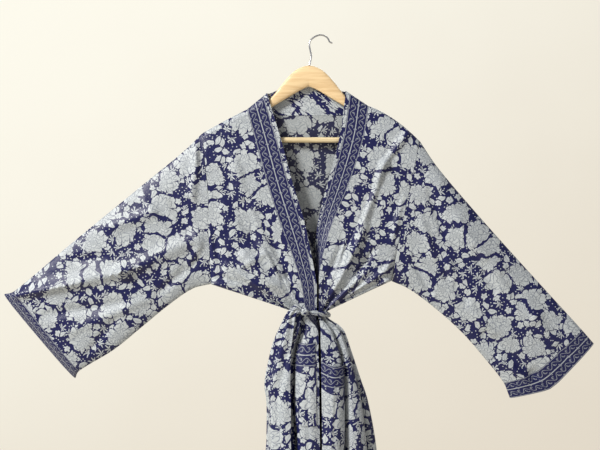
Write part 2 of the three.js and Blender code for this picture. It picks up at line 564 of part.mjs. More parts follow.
// Twisted sash round the waist: a closed ring, two-lobed in section, whose section turns
function waistRope() {
  const { steps, sides } = ROPE;
  const waist = tip(SKIRT);
  const positions = [];
  const index = [];
  for (let i = 0; i < steps; i += 1) {
    const angle = (2 * Math.PI * i) / steps;
    const reach = ROPE.clear + ROPE.thick / 2;
    const ahead = Math.max(0, Math.cos(angle)) ** 2;
    const outward = new THREE.Vector3(Math.sin(angle), -Math.cos(angle), 0);
    const centre = new THREE.Vector3(
      (waist.left + waist.right) / 2 + ((waist.right - waist.left) / 2 + reach) * outward.x,
      (waist.half + reach) * outward.y,
      mix(ROPE.sideZ, ROPE.frontZ, ahead),
    );
    for (let k = 0; k < sides; k += 1) {
      const round = (2 * Math.PI * k) / sides;
      const groove = 1 - ROPE.pinch * (1 - Math.cos(2 * round + ROPE.turns * angle)) / 2;
      const p = centre.clone().addScaledVector(outward, (groove * Math.cos(round) * ROPE.thick) / 2);
      positions.push(p.x, p.y, p.z + (groove * Math.sin(round) * ROPE.high) / 2);
      const [a, b] = [i * sides + k, i * sides + ((k + 1) % sides)];
      const next = ((i + 1) % steps) * sides - i * sides;
      index.push(a, a + next, b + next, a, b + next, b);
    }
  }
  return solid(positions, index);
}

function knot() {
  const geometry = new THREE.SphereGeometry(1, 14, 10);
  geometry.scale(KNOT.halfX, KNOT.halfY, KNOT.halfZ);
  return geometry.translate(KNOT.x, KNOT.y, KNOT.z);
}

function hangerBody() {
  const half = HANGER_OUTLINE.map(([x, z]) => new THREE.Vector2(x, z));
  const other = half.slice(1, -1).reverse().map((p) => new THREE.Vector2(-p.x, p.y));
  const geometry = new THREE.ExtrudeGeometry(new THREE.Shape([...half, ...other]), {
    depth: HANGER.depth - 2 * HANGER.bevel,
    bevelThickness: HANGER.bevel,
    bevelSize: HANGER.bevel,
    bevelOffset: -HANGER.bevel,
    bevelSegments: 2,
  });
  geometry.translate(0, 0, HANGER.bevel - HANGER.depth / 2);
  return geometry.rotateX(Math.PI / 2).translate(HANGER.x, 0, 0);
}

function hangerBar() {
  const geometry = new THREE.CylinderGeometry(HANGER.barRadius, HANGER.barRadius, 2 * HANGER.barHalf, 16);
  return geometry.rotateZ(Math.PI / 2).translate(HANGER.x, 0, HANGER.barZ);
}

function hangerHook() {
  const path = new THREE.CatmullRomCurve3(HOOK.map(([x, z]) => new THREE.Vector3(x, 0, z)));
  const section = new THREE.Shape(shares(8).slice(0, -1).map((t) => (
    new THREE.Vector2(WIRE * Math.cos(2 * Math.PI * t), WIRE * Math.sin(2 * Math.PI * t)))));
  return new THREE.ExtrudeGeometry(section, { steps: 44, extrudePath: path });
}

const PRINT = new THREE.Color(0.52, 0.54, 0.56);
const NAVY = new THREE.Color(0.06, 0.06, 0.22);
const WOOD = new THREE.Color(0.85, 0.68, 0.45);
const STEEL = new THREE.Color(0.7, 0.7, 0.7);

const robe = new THREE.Group();

function add(name, geometry, color, roughness = 0.75, metalness = 0) {
  const material = new THREE.MeshStandardMaterial({ color, roughness, metalness });
  const mesh = new THREE.Mesh(geometry, material);
  mesh.name = name;
  robe.add(mesh);
}

const SIDES = [
  { side: 'left', skirtRows: SKIRT_ROWS, pocket: POCKET_LEFT },
  { side: 'right', skirtRows: SKIRT_ROWS_RIGHT, pocket: POCKET_RIGHT },
];
for (const { side, skirtRows, pocket } of SIDES) {
  const sheet = frontCloth(side, skirtRows);
  const rows = [...sheet.whole.points.keys()];
  const [sleeve, cuff] = sleeveTubes(side);
  add(`front_${side}`, wall(pick(sheet.whole, rows, sheet.front), -CLOTH, 0, inFront), PRINT);
  add(`neckband_${side}`, wall(pick(sheet.whole, rows, sheet.band), -CLOTH, 0, nearTopInFront), NAVY);
  add(`sleeve_${side}`, sleeve, PRINT);
  add(`cuff_${side}`, cuff, NAVY);
  add(`pocket_${side}`, pocketPatch(side, sheet, skirtRows, pocket, pocket.band, pocket.foot), PRINT);
  add(`pocket_band_${side}`, pocketPatch(side, sheet, skirtRows, pocket, pocket.top, pocket.band), NAVY);
}

const backColumns = shares(BACK_COLUMNS).reverse();
const back = cloth(levels(SKIRT_ROWS).map((level) => backColumns.map((s) => backPoint(s, level))));
const bandColumns = shares(16).map((t) => (1 + Math.cos(Math.PI * t)) / 2);
const backBand = cloth(shares(3).map((up) => bandColumns.map((s) => backBandPoint(s, up))));
add('back', wall(back, -CLOTH, 0, behind), PRINT);
add('neckband_back', wall(backBand, -CLOTH, 0, behind), NAVY);

add('belt_waist', waistRope(), PRINT);
add('belt_knot', knot(), PRINT);
add('belt_tail_front', tail(TAIL_FRONT, TAIL_COLUMNS), PRINT);
add('belt_tail_back', tail(TAIL_BACK, TAIL_COLUMNS), PRINT);

add('hanger_body', hangerBody(), WOOD, 0.4);
add('hanger_bar', hangerBar(), WOOD, 0.4);
add('hanger_hook', hangerHook(), STEEL, 0.3, 1);

export default robe;
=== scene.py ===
# %% [markdown]
# # A printed cotton kimono robe on its hanger
# The robe hangs from a wooden hanger with its sleeves held out to the sides and its sash tied
# tight. It is thin cotton, block-printed with pale flowers on indigo, so what the eye reads is
# the folds and the print together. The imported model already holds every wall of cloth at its
# real place. Here each wall becomes a finer sheet over the same form, with the small creases,
# seams and print that a solid for physics leaves out.

import bpy
import numpy as np
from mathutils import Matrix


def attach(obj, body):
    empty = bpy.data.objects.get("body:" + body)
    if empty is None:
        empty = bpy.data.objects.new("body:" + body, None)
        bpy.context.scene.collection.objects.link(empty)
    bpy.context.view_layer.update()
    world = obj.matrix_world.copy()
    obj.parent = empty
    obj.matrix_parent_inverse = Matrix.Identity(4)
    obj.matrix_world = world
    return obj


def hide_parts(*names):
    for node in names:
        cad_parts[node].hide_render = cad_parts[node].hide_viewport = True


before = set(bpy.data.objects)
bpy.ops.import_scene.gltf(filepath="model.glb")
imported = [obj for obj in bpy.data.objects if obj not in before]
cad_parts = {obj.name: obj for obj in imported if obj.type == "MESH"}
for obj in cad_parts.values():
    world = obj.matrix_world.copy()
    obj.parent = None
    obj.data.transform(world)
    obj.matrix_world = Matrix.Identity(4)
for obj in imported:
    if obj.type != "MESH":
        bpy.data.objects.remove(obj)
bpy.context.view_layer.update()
MM = 0.001

# %% [markdown]
# ## Camera first
# The photograph looks straight at the wall from about 1.6 m away, at 2 mm to the pixel. A lens
# of 48 mm on a 36 mm sensor gives that width, and the camera's height is that of the middle of
# the frame, so nothing has to be shifted or turned.

# %% Camera
CENTRE_X, CENTRE_Z, DISTANCE, LENS, SENSOR = -40, -378, 1600, 48, 36
camera_data = bpy.data.cameras.new("camera")
camera_data.lens, camera_data.sensor_width = LENS, SENSOR
camera = bpy.data.objects.new("camera", camera_data)
camera.location = (CENTRE_X * MM, -DISTANCE * MM, CENTRE_Z * MM)
camera.rotation_euler = (np.pi / 2, 0, 0)
bpy.context.scene.collection.objects.link(camera)
bpy.context.scene.camera = camera
print("frame is", DISTANCE * SENSOR / LENS, "mm wide")

# %% [markdown]
# ## Reading sizes from short tables
# A garment's outline changes smoothly with height, so each size is a short table with a row for
# each height that matters. A curve through the rows gives every height between them. A spline
# object could do this too, but a few lines of numpy read a whole grid at once.


# %% Small helpers for whole arrays
def mix(a, b, t):
    """a at t = 0 and b at t = 1, in a straight line between."""
    return a + (b - a) * t


def ease(t):
    """0 below 0 and 1 above 1, with a smooth S between: 3 t squared less 2 t cubed."""
    t = np.clip(t, 0, 1)
    return t * t * (3 - 2 * t)


def closing(distance, reach):
    """Quarter circle from 0 at an edge up to 1 at the given reach from it."""
    return np.sqrt(1 - (1 - np.clip(distance / reach, 0, 1)) ** 2)


def lens(q):
    """Section through two faces that part between their edges: 0 at both ends and 1 inside."""
    return np.sqrt(np.maximum(0, 1 - np.abs(2 * q - 1) ** 3))


def bow(t):
    """Parabola: 0 at both ends and 1 in the middle."""
    return 4 * t * (1 - t)


def vectors(x, y, z):
    return np.stack(np.broadcast_arrays(x, y, z), -1).astype(float)


def unit(v):
    return v / np.maximum(np.linalg.norm(v, axis=-1, keepdims=True), 1e-9)


def grid(rows, columns):
    """Two arrays for a surface: one changes from row to row, the other along each row."""
    return np.meshgrid(rows, columns, indexing="ij")


TURN = 2 * np.pi


def round_turn(count):
    """Angles round a whole turn, the last one step short of the first."""
    return np.linspace(0, TURN, count + 1)[:-1]


class Table:
    """Rows of named columns in the order of the first. Between two rows a column follows a cubic
    whose slope at each row is that from the row before it to the row after it."""

    def __init__(self, names, *rows):
        self.names = names.split()
        self.rows = np.array(rows, float)

    def column(self, name):
        return self.rows[:, self.names.index(name)]

    def at(self, x, name):
        key, value = self.rows[:, 0], self.column(name)
        here = np.arange(len(key))
        before, after = np.maximum(here - 1, 0), np.minimum(here + 1, len(key) - 1)
        slope = (value[after] - value[before]) / (key[after] - key[before])
        i = np.clip(np.searchsorted(key, x) - 1, 0, len(key) - 2)
        step = key[i + 1] - key[i]
        t = np.clip((x - key[i]) / step, 0, 1)
        bend = t * (1 - t) * step * ((1 - t) * slope[i] - t * slope[i + 1])
        return mix(value[i], value[i + 1], ease(t)) + bend

    def all(self, x):
        """Every column but the first, by name."""
        return {name: self.at(x, name) for name in self.names[1:]}


# %% The robe's sizes, in millimetres
WAIST_Z, HEM_Z, UNDERARM_Z = -550, -1314, -496
HALF_GAP, ARMHOLE_HALF, SHOULDER_ROUND, SIDE_ROUND = 0.15, 14, 10, 14
CHEST_ROUND, CREASE_FADE, NECK_DEPTH, NECK_CORNER, NECK_ROUND = 56, 40, 9.5, 46, 12
NECK_SEAM_Z, NECK_TOP_Z, NECK_LEVEL, UNDERARM_LEVEL = -158, -97, 1.7, 1.02
BAND_WIDTH, BAND_THICK, COTTON_THICK = 54, 1.2, 0.7
BODY = Table(
    "z left right back",
    (-550, 22, 20, 22),
    (-496, 22, 18, 17),
    (-420, 18, 15, 14),
    (-300, 14, 12, 12),
    (-200, 11, 10.5, 10),
    (-110, 9.5, 9.5, 9.5),
)
ARMHOLE = {
    "left": Table(
        "z x", (-496, -218), (-440, -219), (-384, -222), (-320, -222), (-258, -228), (-194, -234)
    ),
    "right": Table("z x", (-490, 142), (-440, 150), (-350, 168), (-270, 185), (-210, 199)),
}
BAND = {
    "left": Table(
        "z seam free turn",
        (-550, -28, -6.5, 0),
        (-504, -35, -6, 0),
        (-434, -57, -18, -1),
        (-365, -83, -33, -2),
        (-296, -105, -54, -2),
        (-202, -131, -79, -1),
        (-147, -146, -96, 0),
    ),
    "right": Table(
        "z seam free turn",
        (-550, -4, -5, 20),
        (-504, -3, -6, 24),
        (-468, -1, -10, 25),
        (-410, 13, -9, 16),
        (-365, 28, -3, 9),
        (-296, 57, 14, 3),
        (-202, 87, 39, 0),
        (-140, 97, 47, 0),
    ),
}
NECK = {
    "left": dict(seam_x=-146, seam_z=-147, free_x=-106, free_z=-114, bow=1),
    "right": dict(seam_x=97, seam_z=-140, free_x=52, free_z=-110, bow=8.5),
}
print("rows of the tables:", [len(t.rows) for t in (BODY, *ARMHOLE.values(), *BAND.values())])

# %% [markdown]
# ## The skirt's folds
# Below the sash the cloth falls in deep tube-like folds. A ring of lobes, each a stretch between
# two grooves, gives them in one formula: an oval, less a depth that peaks at each groove. The
# grooves stand at uneven angles, and near the waist small gathers run on top of the lobes. The
# columns open, crowd and turn set where both front edges stand and how far the right one is tucked
# in behind the left, and reach and point lay the left neckband beside it.

# %% Skirt tables
SKIRT = Table(
    "z left right half groove gather openLeft openRight turn crowdLeft crowdRight reach point",
    (-1314, -158, 150, 66, 30, 0, 2, 1, 9, 1, 1, 50, 90),
    (-1050, -126, 132, 62, 30, 0, 0, -2, 8, 1, 1, 50, 90),
    (-828, -101, 112, 57, 28, 0, -1, -3.9, 7, 1, 1, 48, 90),
    (-728, -98, 95, 49, 24, 0, 2.5, -1.8, 6, 1.1, 0.85, 40, 90),
    (-678, -91, 79, 43, 20, 0.4, 6, -3.1, 5, 1.2, 0.66, 34, 90),
    (-628, -79, 62, 35, 15, 1.5, 8, -7.7, 4, 1.4, 0.5, 27, 88),
    (-590, -67, 48, 27, 11, 3.5, 9, 3.7, 3, 1.3, 0.7, 21, 78),
    (-577, -62, 36, 23.5, 9, 4, 7, 11.8, 2, 1.2, 0.85, 19, 62),
    (-564, -58.5, 16, 20.5, 8, 4, 2, 28, 1, 1, 1, 17, 30),
    (-550, -56, 13, 19, 7, 3.5, -9.2, 31, 0, 1, 1, 17, 0),
)
GROOVES = np.array([0, 30, 66, 100, 140, 180, 220, 260, 294, 326, 360], float)
LOBES = len(GROOVES) - 1
LOBE_PINCH, LOBE_SHARPNESS, SIDE_LOBE, EDGE_LOBE = 0.85, 1.5, 2.616, 0.08
SMALL_GATHER, SMALL_FADE, SMALL_COUNT = 2.0, 45, 4.7
# Creases down the lobes: place in lobes and height at both ends, width in lobes, and rise
LOBE_CREASES = Table(
    "lobe0 z0 lobe1 z1 width rise",
    (0.42, -600, 0.36, -900, 0.05, 1.6),
    (0.62, -640, 0.70, -1180, 0.07, -2.2),
    (1.30, -600, 1.26, -860, 0.06, 2.0),
    (1.55, -760, 1.62, -1290, 0.08, -2.4),
    (2.20, -590, 2.28, -1000, 0.06, -2.0),
    (2.52, -700, 2.46, -1250, 0.09, 2.4),
    (3.35, -600, 3.30, -1100, 0.07, -2.4),
    (3.68, -640, 3.72, -900, 0.06, 1.8),
    (4.30, -600, 4.36, -1200, 0.08, -2.8),
    (4.66, -620, 4.60, -820, 0.06, 2.0),
    (5.28, -600, 5.34, -1000, 0.07, 2.2),
    (5.60, -680, 5.52, -1290, 0.09, -2.8),
    (6.40, -600, 6.34, -900, 0.06, -2.0),
    (6.62, -760, 6.70, -1240, 0.08, 2.2),
    (7.44, -600, 7.50, -1120, 0.07, -2.2),
    (8.30, -620, 8.24, -1000, 0.07, 2.0),
    (8.62, -700, 8.68, -1280, 0.08, -2.4),
    (9.24, -590, 9.30, -840, 0.05, 1.8),
    (9.58, -640, 9.50, -1220, 0.07, -2.0),
)


def lobe_creases(lobe, z):
    """Sum of soft ridges: rise times a bell across the crease, tapered along it by a half sine."""
    total = np.zeros(np.broadcast(lobe, z).shape)
    for lobe0, z0, lobe1, z1, width, rise in LOBE_CREASES.rows:
        t = (z - z0) / (z1 - z0)
        across = (lobe - mix(lobe0, lobe1, t)) / width
        total += rise * np.exp(-across * across) * np.sin(np.pi * np.clip(t, 0, 1)) ** 0.6
    return total


def ring(lobe, z):
    """Outer point of the skirt: an oval at the lobe's angle, moved in along the oval's normal by
    the groove's depth and by the gathers, and out by the small creases."""
    lobe, z = np.broadcast_arrays(np.asarray(lobe, float), np.asarray(z, float))
    size = SKIRT.all(z)
    index = np.clip(np.floor(lobe), 0, LOBES - 1).astype(int)
    u = lobe - index
    at_edge = ((index == 0) & (u < 0.5)) | ((index == LOBES - 1) & (u > 0.5))
    pinched = np.where(at_edge, u, u - LOBE_PINCH / (2 * np.pi) * np.sin(2 * np.pi * u))
    angle = mix(GROOVES[index], GROOVES[index + 1], pinched)
    right = mix(size["openRight"], 90, np.clip(angle / 90, 0, 1) ** size["crowdRight"])
    left = mix(270, 360 + size["openLeft"], np.clip((angle - 270) / 90, 0, 1) ** size["crowdLeft"])
    angle = np.where(angle < 90, right, np.where(angle > 270, left, angle))
    fall = ((1 + np.cos(2 * np.pi * u)) / 2) ** LOBE_SHARPNESS
    gathers = np.where(at_edge, 0, (1 - np.cos(4 * np.pi * u)) / 2)
    depth = np.where(at_edge, size["turn"], size["groove"]) * fall + size["gather"] * gathers
    near_waist = np.exp((z - WAIST_Z) / SMALL_FADE)
    uneven = SMALL_COUNT * lobe + 0.4 * np.sin(3.1 * lobe)
    small = SMALL_GATHER * near_waist * np.sin(2 * np.pi * uneven)
    depth = depth - (lobe_creases(lobe, z) + small * ~at_edge)
    turn, deep = np.radians(angle), size["half"]
    across, middle = (size["right"] - size["left"]) / 2, (size["right"] + size["left"]) / 2
    normal = unit(vectors(np.sin(turn) / across, -np.cos(turn) / deep, 0))
    oval = vectors(middle + across * np.sin(turn), -deep * np.cos(turn), z)
    return oval - depth[..., None] * normal


hem = np.ptp(ring(np.linspace(0, LOBES, 400), HEM_Z), axis=0)
print("hem is", np.round(hem[:2]), "mm across and deep")

# %% [markdown]
# ## Creases of the worn body and sleeves
# Above the sash the cloth is pulled towards the knot, and every crease points there. They are
# placed one by one, by both ends in the front view, because a noise texture would scatter them
# evenly, and cloth under tension never does that. The main ones are in the solids as well.

# %% Crease tables
MAIN_CREASES = Table(
    "x0 z0 x1 z1 width rise",
    (176, -192, 126, -258, 8, 6),
    (126, -258, 64, -428, 9, 10),
    (64, -428, 20, -528, 7, 9),
    (104, -300, 34, -455, 12, -5),
    (-116, -358, -66, -478, 8, -6),
    (-66, -478, -40, -528, 6, -6),
    (-150, -440, -62, -524, 10, 7),
    (-154, -460, -112, -436, 6, 4),
    (-246, -212, -252, -322, 7, 6),
    (-602, -514, -390, -470, 13, 9),
    (-390, -470, -250, -408, 14, 8),
    (-416, -382, -334, -354, 12, 6),
    (252, -478, 290, -524, 9, -5),
    (330, -596, 424, -675, 12, -6),
    (424, -675, 463, -704, 10, -6),
    (232, -300, 420, -560, 22, 6),
    (90, -470, 24, -530, 8, 5),
)
FINE_CREASES = Table(
    "x0 z0 x1 z1 width rise",
    (-246, -216, -242, -290, 4, 2.0),
    (-257, -286, -256, -324, 4, 1.8),
    (-222, -250, -206, -330, 7, -2.5),
    (-214, -380, -196, -470, 6, -2.2),
    (-208, -478, -120, -508, 6, -3.0),
    (-190, -452, -96, -516, 5, 2.6),
    (-170, -492, -70, -532, 5, 2.8),
    (-120, -412, -78, -486, 4, 2.4),
    (-98, -440, -62, -508, 3.5, -2.2),
    (-78, -514, -48, -536, 4, 3.2),
    (-60, -470, -42, -534, 3, 2.0),
    (-176, -228, -150, -330, 12, 2.0),
    (-160, -330, -128, -420, 10, -1.8),
    (-200, -340, -150, -400, 9, 1.6),
    (96, -372, 50, -470, 5, 2.6),
    (112, -420, 44, -512, 4.5, -3.0),
    (136, -462, 52, -524, 5, 3.0),
    (128, -486, 40, -534, 4, -2.6),
    (60, -380, 30, -470, 4, 2.2),
    (150, -240, 128, -330, 8, -2.4),
    (176, -300, 140, -420, 9, 2.2),
    (188, -250, 170, -340, 5, -2.2),
    (150, -440, 120, -480, 6, 2.2),
    (-610, -520, -440, -486, 5, 2.6),
    (-440, -486, -330, -452, 5, 2.4),
    (-560, -560, -380, -530, 9, -3.0),
    (-520, -600, -330, -520, 8, 2.4),
    (-330, -520, -236, -440, 7, -2.6),
    (-300, -330, -250, -400, 8, -2.4),
    (-360, -320, -300, -380, 9, 2.2),
    (-500, -450, -420, -440, 8, -2.4),
    (-270, -470, -226, -400, 5, 2.4),
    (-470, -640, -400, -560, 6, -2.0),
    (214, -300, 250, -400, 8, -2.8),
    (196, -360, 228, -450, 7, 2.6),
    (180, -440, 224, -520, 6, -2.6),
    (262, -360, 330, -450, 9, 2.8),
    (300, -420, 352, -520, 7, -2.6),
    (250, -440, 268, -500, 6, 2.2),
    (290, -540, 350, -600, 7, 2.6),
    (360, -470, 420, -560, 10, -2.6),
    (400, -530, 470, -620, 8, 2.4),
    (350, -640, 420, -690, 7, 2.6),
    (440, -600, 500, -650, 6, -2.2),
)
BACK_CREASES = Table(
    "x0 z0 x1 z1 width rise",
    (-190, -300, -70, -500, 12, 5),
    (-206, -420, -74, -524, 9, -4.5),
    (-150, -250, -92, -380, 14, -3),
    (-110, -420, -52, -524, 8, 4.5),
    (-92, -300, -60, -440, 12, 3),
    (-60, -460, -38, -530, 6, -3.5),
    (-30, -330, -24, -500, 14, 3),
    (-10, -450, -16, -530, 6, -3),
    (20, -300, 4, -460, 12, -3),
    (40, -440, 2, -528, 7, 4),
    (120, -290, 30, -500, 11, 5),
    (134, -420, 24, -526, 8, -4.5),
    (150, -330, 96, -430, 9, 3),
    (-236, -250, -238, -360, 7, 3),
    (190, -260, 160, -380, 7, 3),
    (-600, -540, -400, -480, 12, 5),
    (-400, -480, -262, -400, 13, 5),
    (-540, -600, -340, -540, 10, -4),
    (-440, -420, -330, -350, 13, 4),
    (-330, -500, -250, -440, 8, -3),
    (230, -320, 400, -550, 18, 5),
    (220, -420, 320, -560, 10, -4),
    (340, -560, 450, -670, 12, 4),
    (400, -530, 480, -620, 10, -3.5),
    (250, -480, 300, -560, 8, 3),
)
FINE_SHARE = 2.1  # the fine creases are that much higher than their table says


def creases(table, x, z, taper):
    """Sum of ridges: rise times a bell of the distance from the line between both ends. With taper
    each one fades to nothing at its ends, as a half sine does."""
    total = np.zeros(x.shape)
    for x0, z0, x1, z1, width, rise in table.rows:
        along = np.array([x1 - x0, z1 - z0])
        t = ((x - x0) * along[0] + (z - z0) * along[1]) / (along @ along)
        near = np.clip(t, 0, 1)
        away = np.hypot(x - x0 - near * along[0], z - z0 - near * along[1]) / width
        fade = np.sin(np.pi * near) ** 0.5 if taper else 1
        total += rise * np.exp(-away * away) * fade
    return total


def fore_creases(x, z):
    """The main creases of the robe's front side and, raised by a factor, its fine ones."""
    return creases(MAIN_CREASES, x, z, False) + FINE_SHARE * creases(FINE_CREASES, x, z, True)


placed = [len(table.rows) for table in (MAIN_CREASES, FINE_CREASES, BACK_CREASES)]
print("creases placed by hand:", placed)

# %% [markdown]
# ## Fronts, back and neckband
# Each front is one grid from the hem to the shoulder, with the side seam at one edge and the
# neckband seam at the other. Level -1 is the hem, 0 the waist, 1 the underarm and 2 the
# shoulder. Below the waist a point comes from the ring, above the underarm from the flat chest
# with its creases, and between them it goes straight from one to the other, as pulled cloth does.


# %% Panels above the waist
PULL = dict(x=-22, coarse=19, fine=31, height=2.6, near=55, far=170, seam=0.2)


def chest(side, x, z, q, from_side, from_top, level):
    """Depth of a panel's outer face: nothing at the seams, then the body's half thickness. A lens
    section opens the armhole, and a quarter circle closes the shoulder and the sides."""
    edge = HALF_GAP + ARMHOLE_HALF * lens(q) * (level > 1)
    reach = np.where(level > UNDERARM_LEVEL, CHEST_ROUND, SIDE_ROUND)
    inner = mix(edge, BODY.at(z, side), closing(from_side, reach))
    return inner, edge


def pulls(x, z):
    """Gathers that fan out above the sash: two cosines of the angle about its middle, which fade
    with the distance from it."""
    aside, above = x - PULL["x"], z - WAIST_Z
    angle, away = np.arctan2(aside, above), np.hypot(aside, above)
    wave = 0.6 * np.cos(PULL["coarse"] * angle) + 0.4 * np.cos(PULL["fine"] * angle + 1)
    return PULL["height"] * wave * (1 - ease((away - PULL["near"]) / (PULL["far"] - PULL["near"])))


def whole_panel(lobe, level, top):
    """A panel's points: the skirt's ring below level 0, and straight on from it to the top's points
    at level 1."""
    skirt = ring(lobe, mix(WAIST_Z, HEM_Z, np.clip(-level, 0, 1)))
    up = np.clip(level, 0, 1)[..., None]
    return np.where(level[..., None] < 0, skirt, mix(ring(lobe, WAIST_Z), top, up))


def front_points(side, s, level):
    """Outer face of a front: s is 0 at the side seam and 1 at the neckband seam."""
    armhole, band, neck = ARMHOLE[side], BAND[side], NECK[side]
    ends = (LOBES - SIDE_LOBE, LOBES - EDGE_LOBE) if side == "left" else (SIDE_LOBE, EDGE_LOBE)
    lobe = mix(*ends, s)
    q = np.clip(level - 1, 0, 1)
    low_z, tip_z = armhole.column("z")[[0, -1]]
    side_z, seam_z = mix(low_z, tip_z, q), mix(low_z, neck["seam_z"], q)
    side_x = armhole.at(side_z, "x")
    x = mix(side_x, band.at(seam_z, "seam"), s)
    z = mix(side_z, seam_z, s) + q * neck["bow"] * bow(s)
    from_side = np.abs(x - side_x)
    from_top = (1 - q) * (mix(tip_z, neck["seam_z"], s) - low_z)
    inner, edge = chest(side, x, z, q, from_side, from_top, level)
    rise = fore_creases(x, z) + pulls(x, z) * ease((1 - s) / PULL["seam"])
    rise = rise * closing(from_top, CREASE_FADE) * ease(from_side / SIDE_ROUND)
    depth = HALF_GAP + (np.maximum(inner + rise, edge) - HALF_GAP) * closing(from_top, SHOULDER_ROUND)
    return whole_panel(lobe, level, vectors(x, -depth, z))


def back_top(x):
    """Height of the back's top edge: two bowed shoulder lines, and the neck seam between them."""
    left, right = NECK["left"], NECK["right"]
    from_left = mix(left["seam_z"], NECK_SEAM_Z, ease((x - left["seam_x"]) / NECK_CORNER))
    from_right = mix(right["seam_z"], NECK_SEAM_Z, ease((right["seam_x"] - x) / NECK_CORNER))
    top = np.maximum(from_left, from_right)
    for side, neck in NECK.items():
        tip_z, tip_x = ARMHOLE[side].rows[-1]
        t = (x - tip_x) / (neck["seam_x"] - tip_x)
        top = np.where(t < 1, mix(tip_z, neck["seam_z"], t) + neck["bow"] * bow(t), top)
    return top


def neck_depth(x, low, high):
    """How far behind the middle the neck seam lies: nothing at the two shoulders."""
    return mix(HALF_GAP, NECK_DEPTH, closing(np.minimum(x - low, high - x), NECK_ROUND))


def back_points(s, level):
    """Outer face of the back: s is 0 at the viewer's left side seam and 1 at the right one."""
    lobe = mix(LOBES - SIDE_LOBE, SIDE_LOBE, s)
    q = np.clip(level - 1, 0, 1)
    left, right = ARMHOLE["left"], ARMHOLE["right"]
    low_z = mix(left.rows[0, 0], right.rows[0, 0], s)
    left_x = left.at(mix(*left.rows[[0, -1], 0], q), "x")
    right_x = right.at(mix(*right.rows[[0, -1], 0], q), "x")
    x, top_x = mix(left_x, right_x, s), mix(left.rows[-1, 1], right.rows[-1, 1], s)
    z = mix(low_z, back_top(top_x), q)
    from_side = np.minimum(x - left_x, right_x - x)
    from_top = (1 - q) * (back_top(top_x) - low_z)
    inner, edge = chest("back", x, z, q, from_side, from_top, level)
    fade = closing(from_top, CREASE_FADE) * ease(from_side / SIDE_ROUND)
    inner = np.maximum(inner + creases(BACK_CREASES, x, z, True) * fade, edge)
    top = neck_depth(top_x, NECK["left"]["seam_x"], NECK["right"]["seam_x"])
    flat = vectors(x, mix(top, inner, closing(from_top, SHOULDER_ROUND)), z)
    return whole_panel(lobe, level, flat)


def band_points(side, s, level):
    """Outer face of a neckband: from its seam on the front, s = 0, straight to its free edge."""
    band, neck = BAND[side], NECK[side]
    seam = front_points(side, np.ones_like(level), level)
    z = mix(WAIST_Z, HEM_Z, np.clip(-level, 0, 1))
    point = np.radians(SKIRT.at(z, "point") if side == "left" else 90 + 0 * z)
    way = 1 if side == "left" else -1
    low = SKIRT.at(z, "reach")[..., None] * vectors(way * np.cos(point), np.sin(point), 0)
    top = np.clip((level - NECK_LEVEL) / (2 - NECK_LEVEL), 0, 1) ** 2
    seam_z = seam[..., 2]
    across = band.at(seam_z, "free") - band.at(seam_z, "seam")
    from_top = (2 - level) * (neck["seam_z"] - UNDERARM_Z)
    turn = band.at(seam_z, "turn") * closing(from_top, CREASE_FADE)
    dx = mix(across, neck["free_x"] - neck["seam_x"], top)
    dz = mix(0, neck["free_z"] - neck["seam_z"], top)
    whole = np.where(level[..., None] < 0, low, vectors(dx, turn, dz))
    return seam + s[..., None] * whole


def back_band_points(s, up):
    """Outer face of the back neckband: from the neck seam, up = 0, to its free edge."""
    left, right = NECK["left"], NECK["right"]
    low_x, high_x = mix(left["seam_x"], right["seam_x"], s), mix(left["free_x"], right["free_x"], s)
    rise_left = mix(left["free_z"], NECK_TOP_Z, ease((high_x - left["free_x"]) / NECK_CORNER))
    rise_right = mix(right["free_z"], NECK_TOP_Z, ease((right["free_x"] - high_x) / NECK_CORNER))
    high_z = np.where(s < 0.5, rise_left, rise_right)
    low_y = neck_depth(low_x, left["seam_x"], right["seam_x"])
    high_y = neck_depth(high_x, left["free_x"], right["free_x"])
    z = mix(back_top(low_x), high_z, up)
    return vectors(mix(low_x, high_x, up), mix(low_y, high_y, up), z)


# %% [markdown]
# ## Sleeves
# A kimono sleeve is one folded panel, so seen from the front it is a flat, slightly tapering
# shape whose two layers part by a finger's width. A lens section between an upper and a lower
# edge gives that. The cuffs twist a little, so the last rows are moved back as well.

# %% Sleeve tables and surface
SLEEVE = {
    "left": Table(
        "v topX topZ lowX lowZ half shift peak at",
        (0, -234.6, -194, -218.6, -496, 14, 0, 0, 0.5),
        (0.1, -272, -230, -254, -505, 14, 0, 0, 0.5),
        (0.3, -346, -291, -304, -539, 14, 0, 0, 0.5),
        (0.5, -428, -358, -354, -580, 14, 0, 0, 0.5),
        (0.7, -512, -427, -412, -627, 14, 1, 0, 0.5),
        (0.92, -611, -509, -482, -670, 13, 5, 0, 0.5),
        (1, -639, -518, -495, -688, 12, 20, 0, 0.5),
    ),
    "right": Table(
        "v topX topZ lowX lowZ half shift peak at",
        (0, 199.6, -210, 142.6, -490, 14, 0, 0, 0.4),
        (0.1, 234, -261, 178, -506, 14, 0, 0, 0.4),
        (0.3, 309, -350, 232, -546, 14, 0, 0, 0.4),
        (0.5, 381, -431, 283, -592, 14, 0, 0, 0.4),
        (0.7, 450, -507, 327, -642, 14, 0, 8, 0.38),
        (0.92, 523, -587, 367, -693, 13, 0, 20, 0.38),
        (1, 548, -615, 380, -724, 12, 2, 33, 0.48),
    ),
}
SLEEVE_HEAD, SLEEVE_EDGE, CREASE_START, CUFF_START = 0.3, 8, 0.05, 0.9208


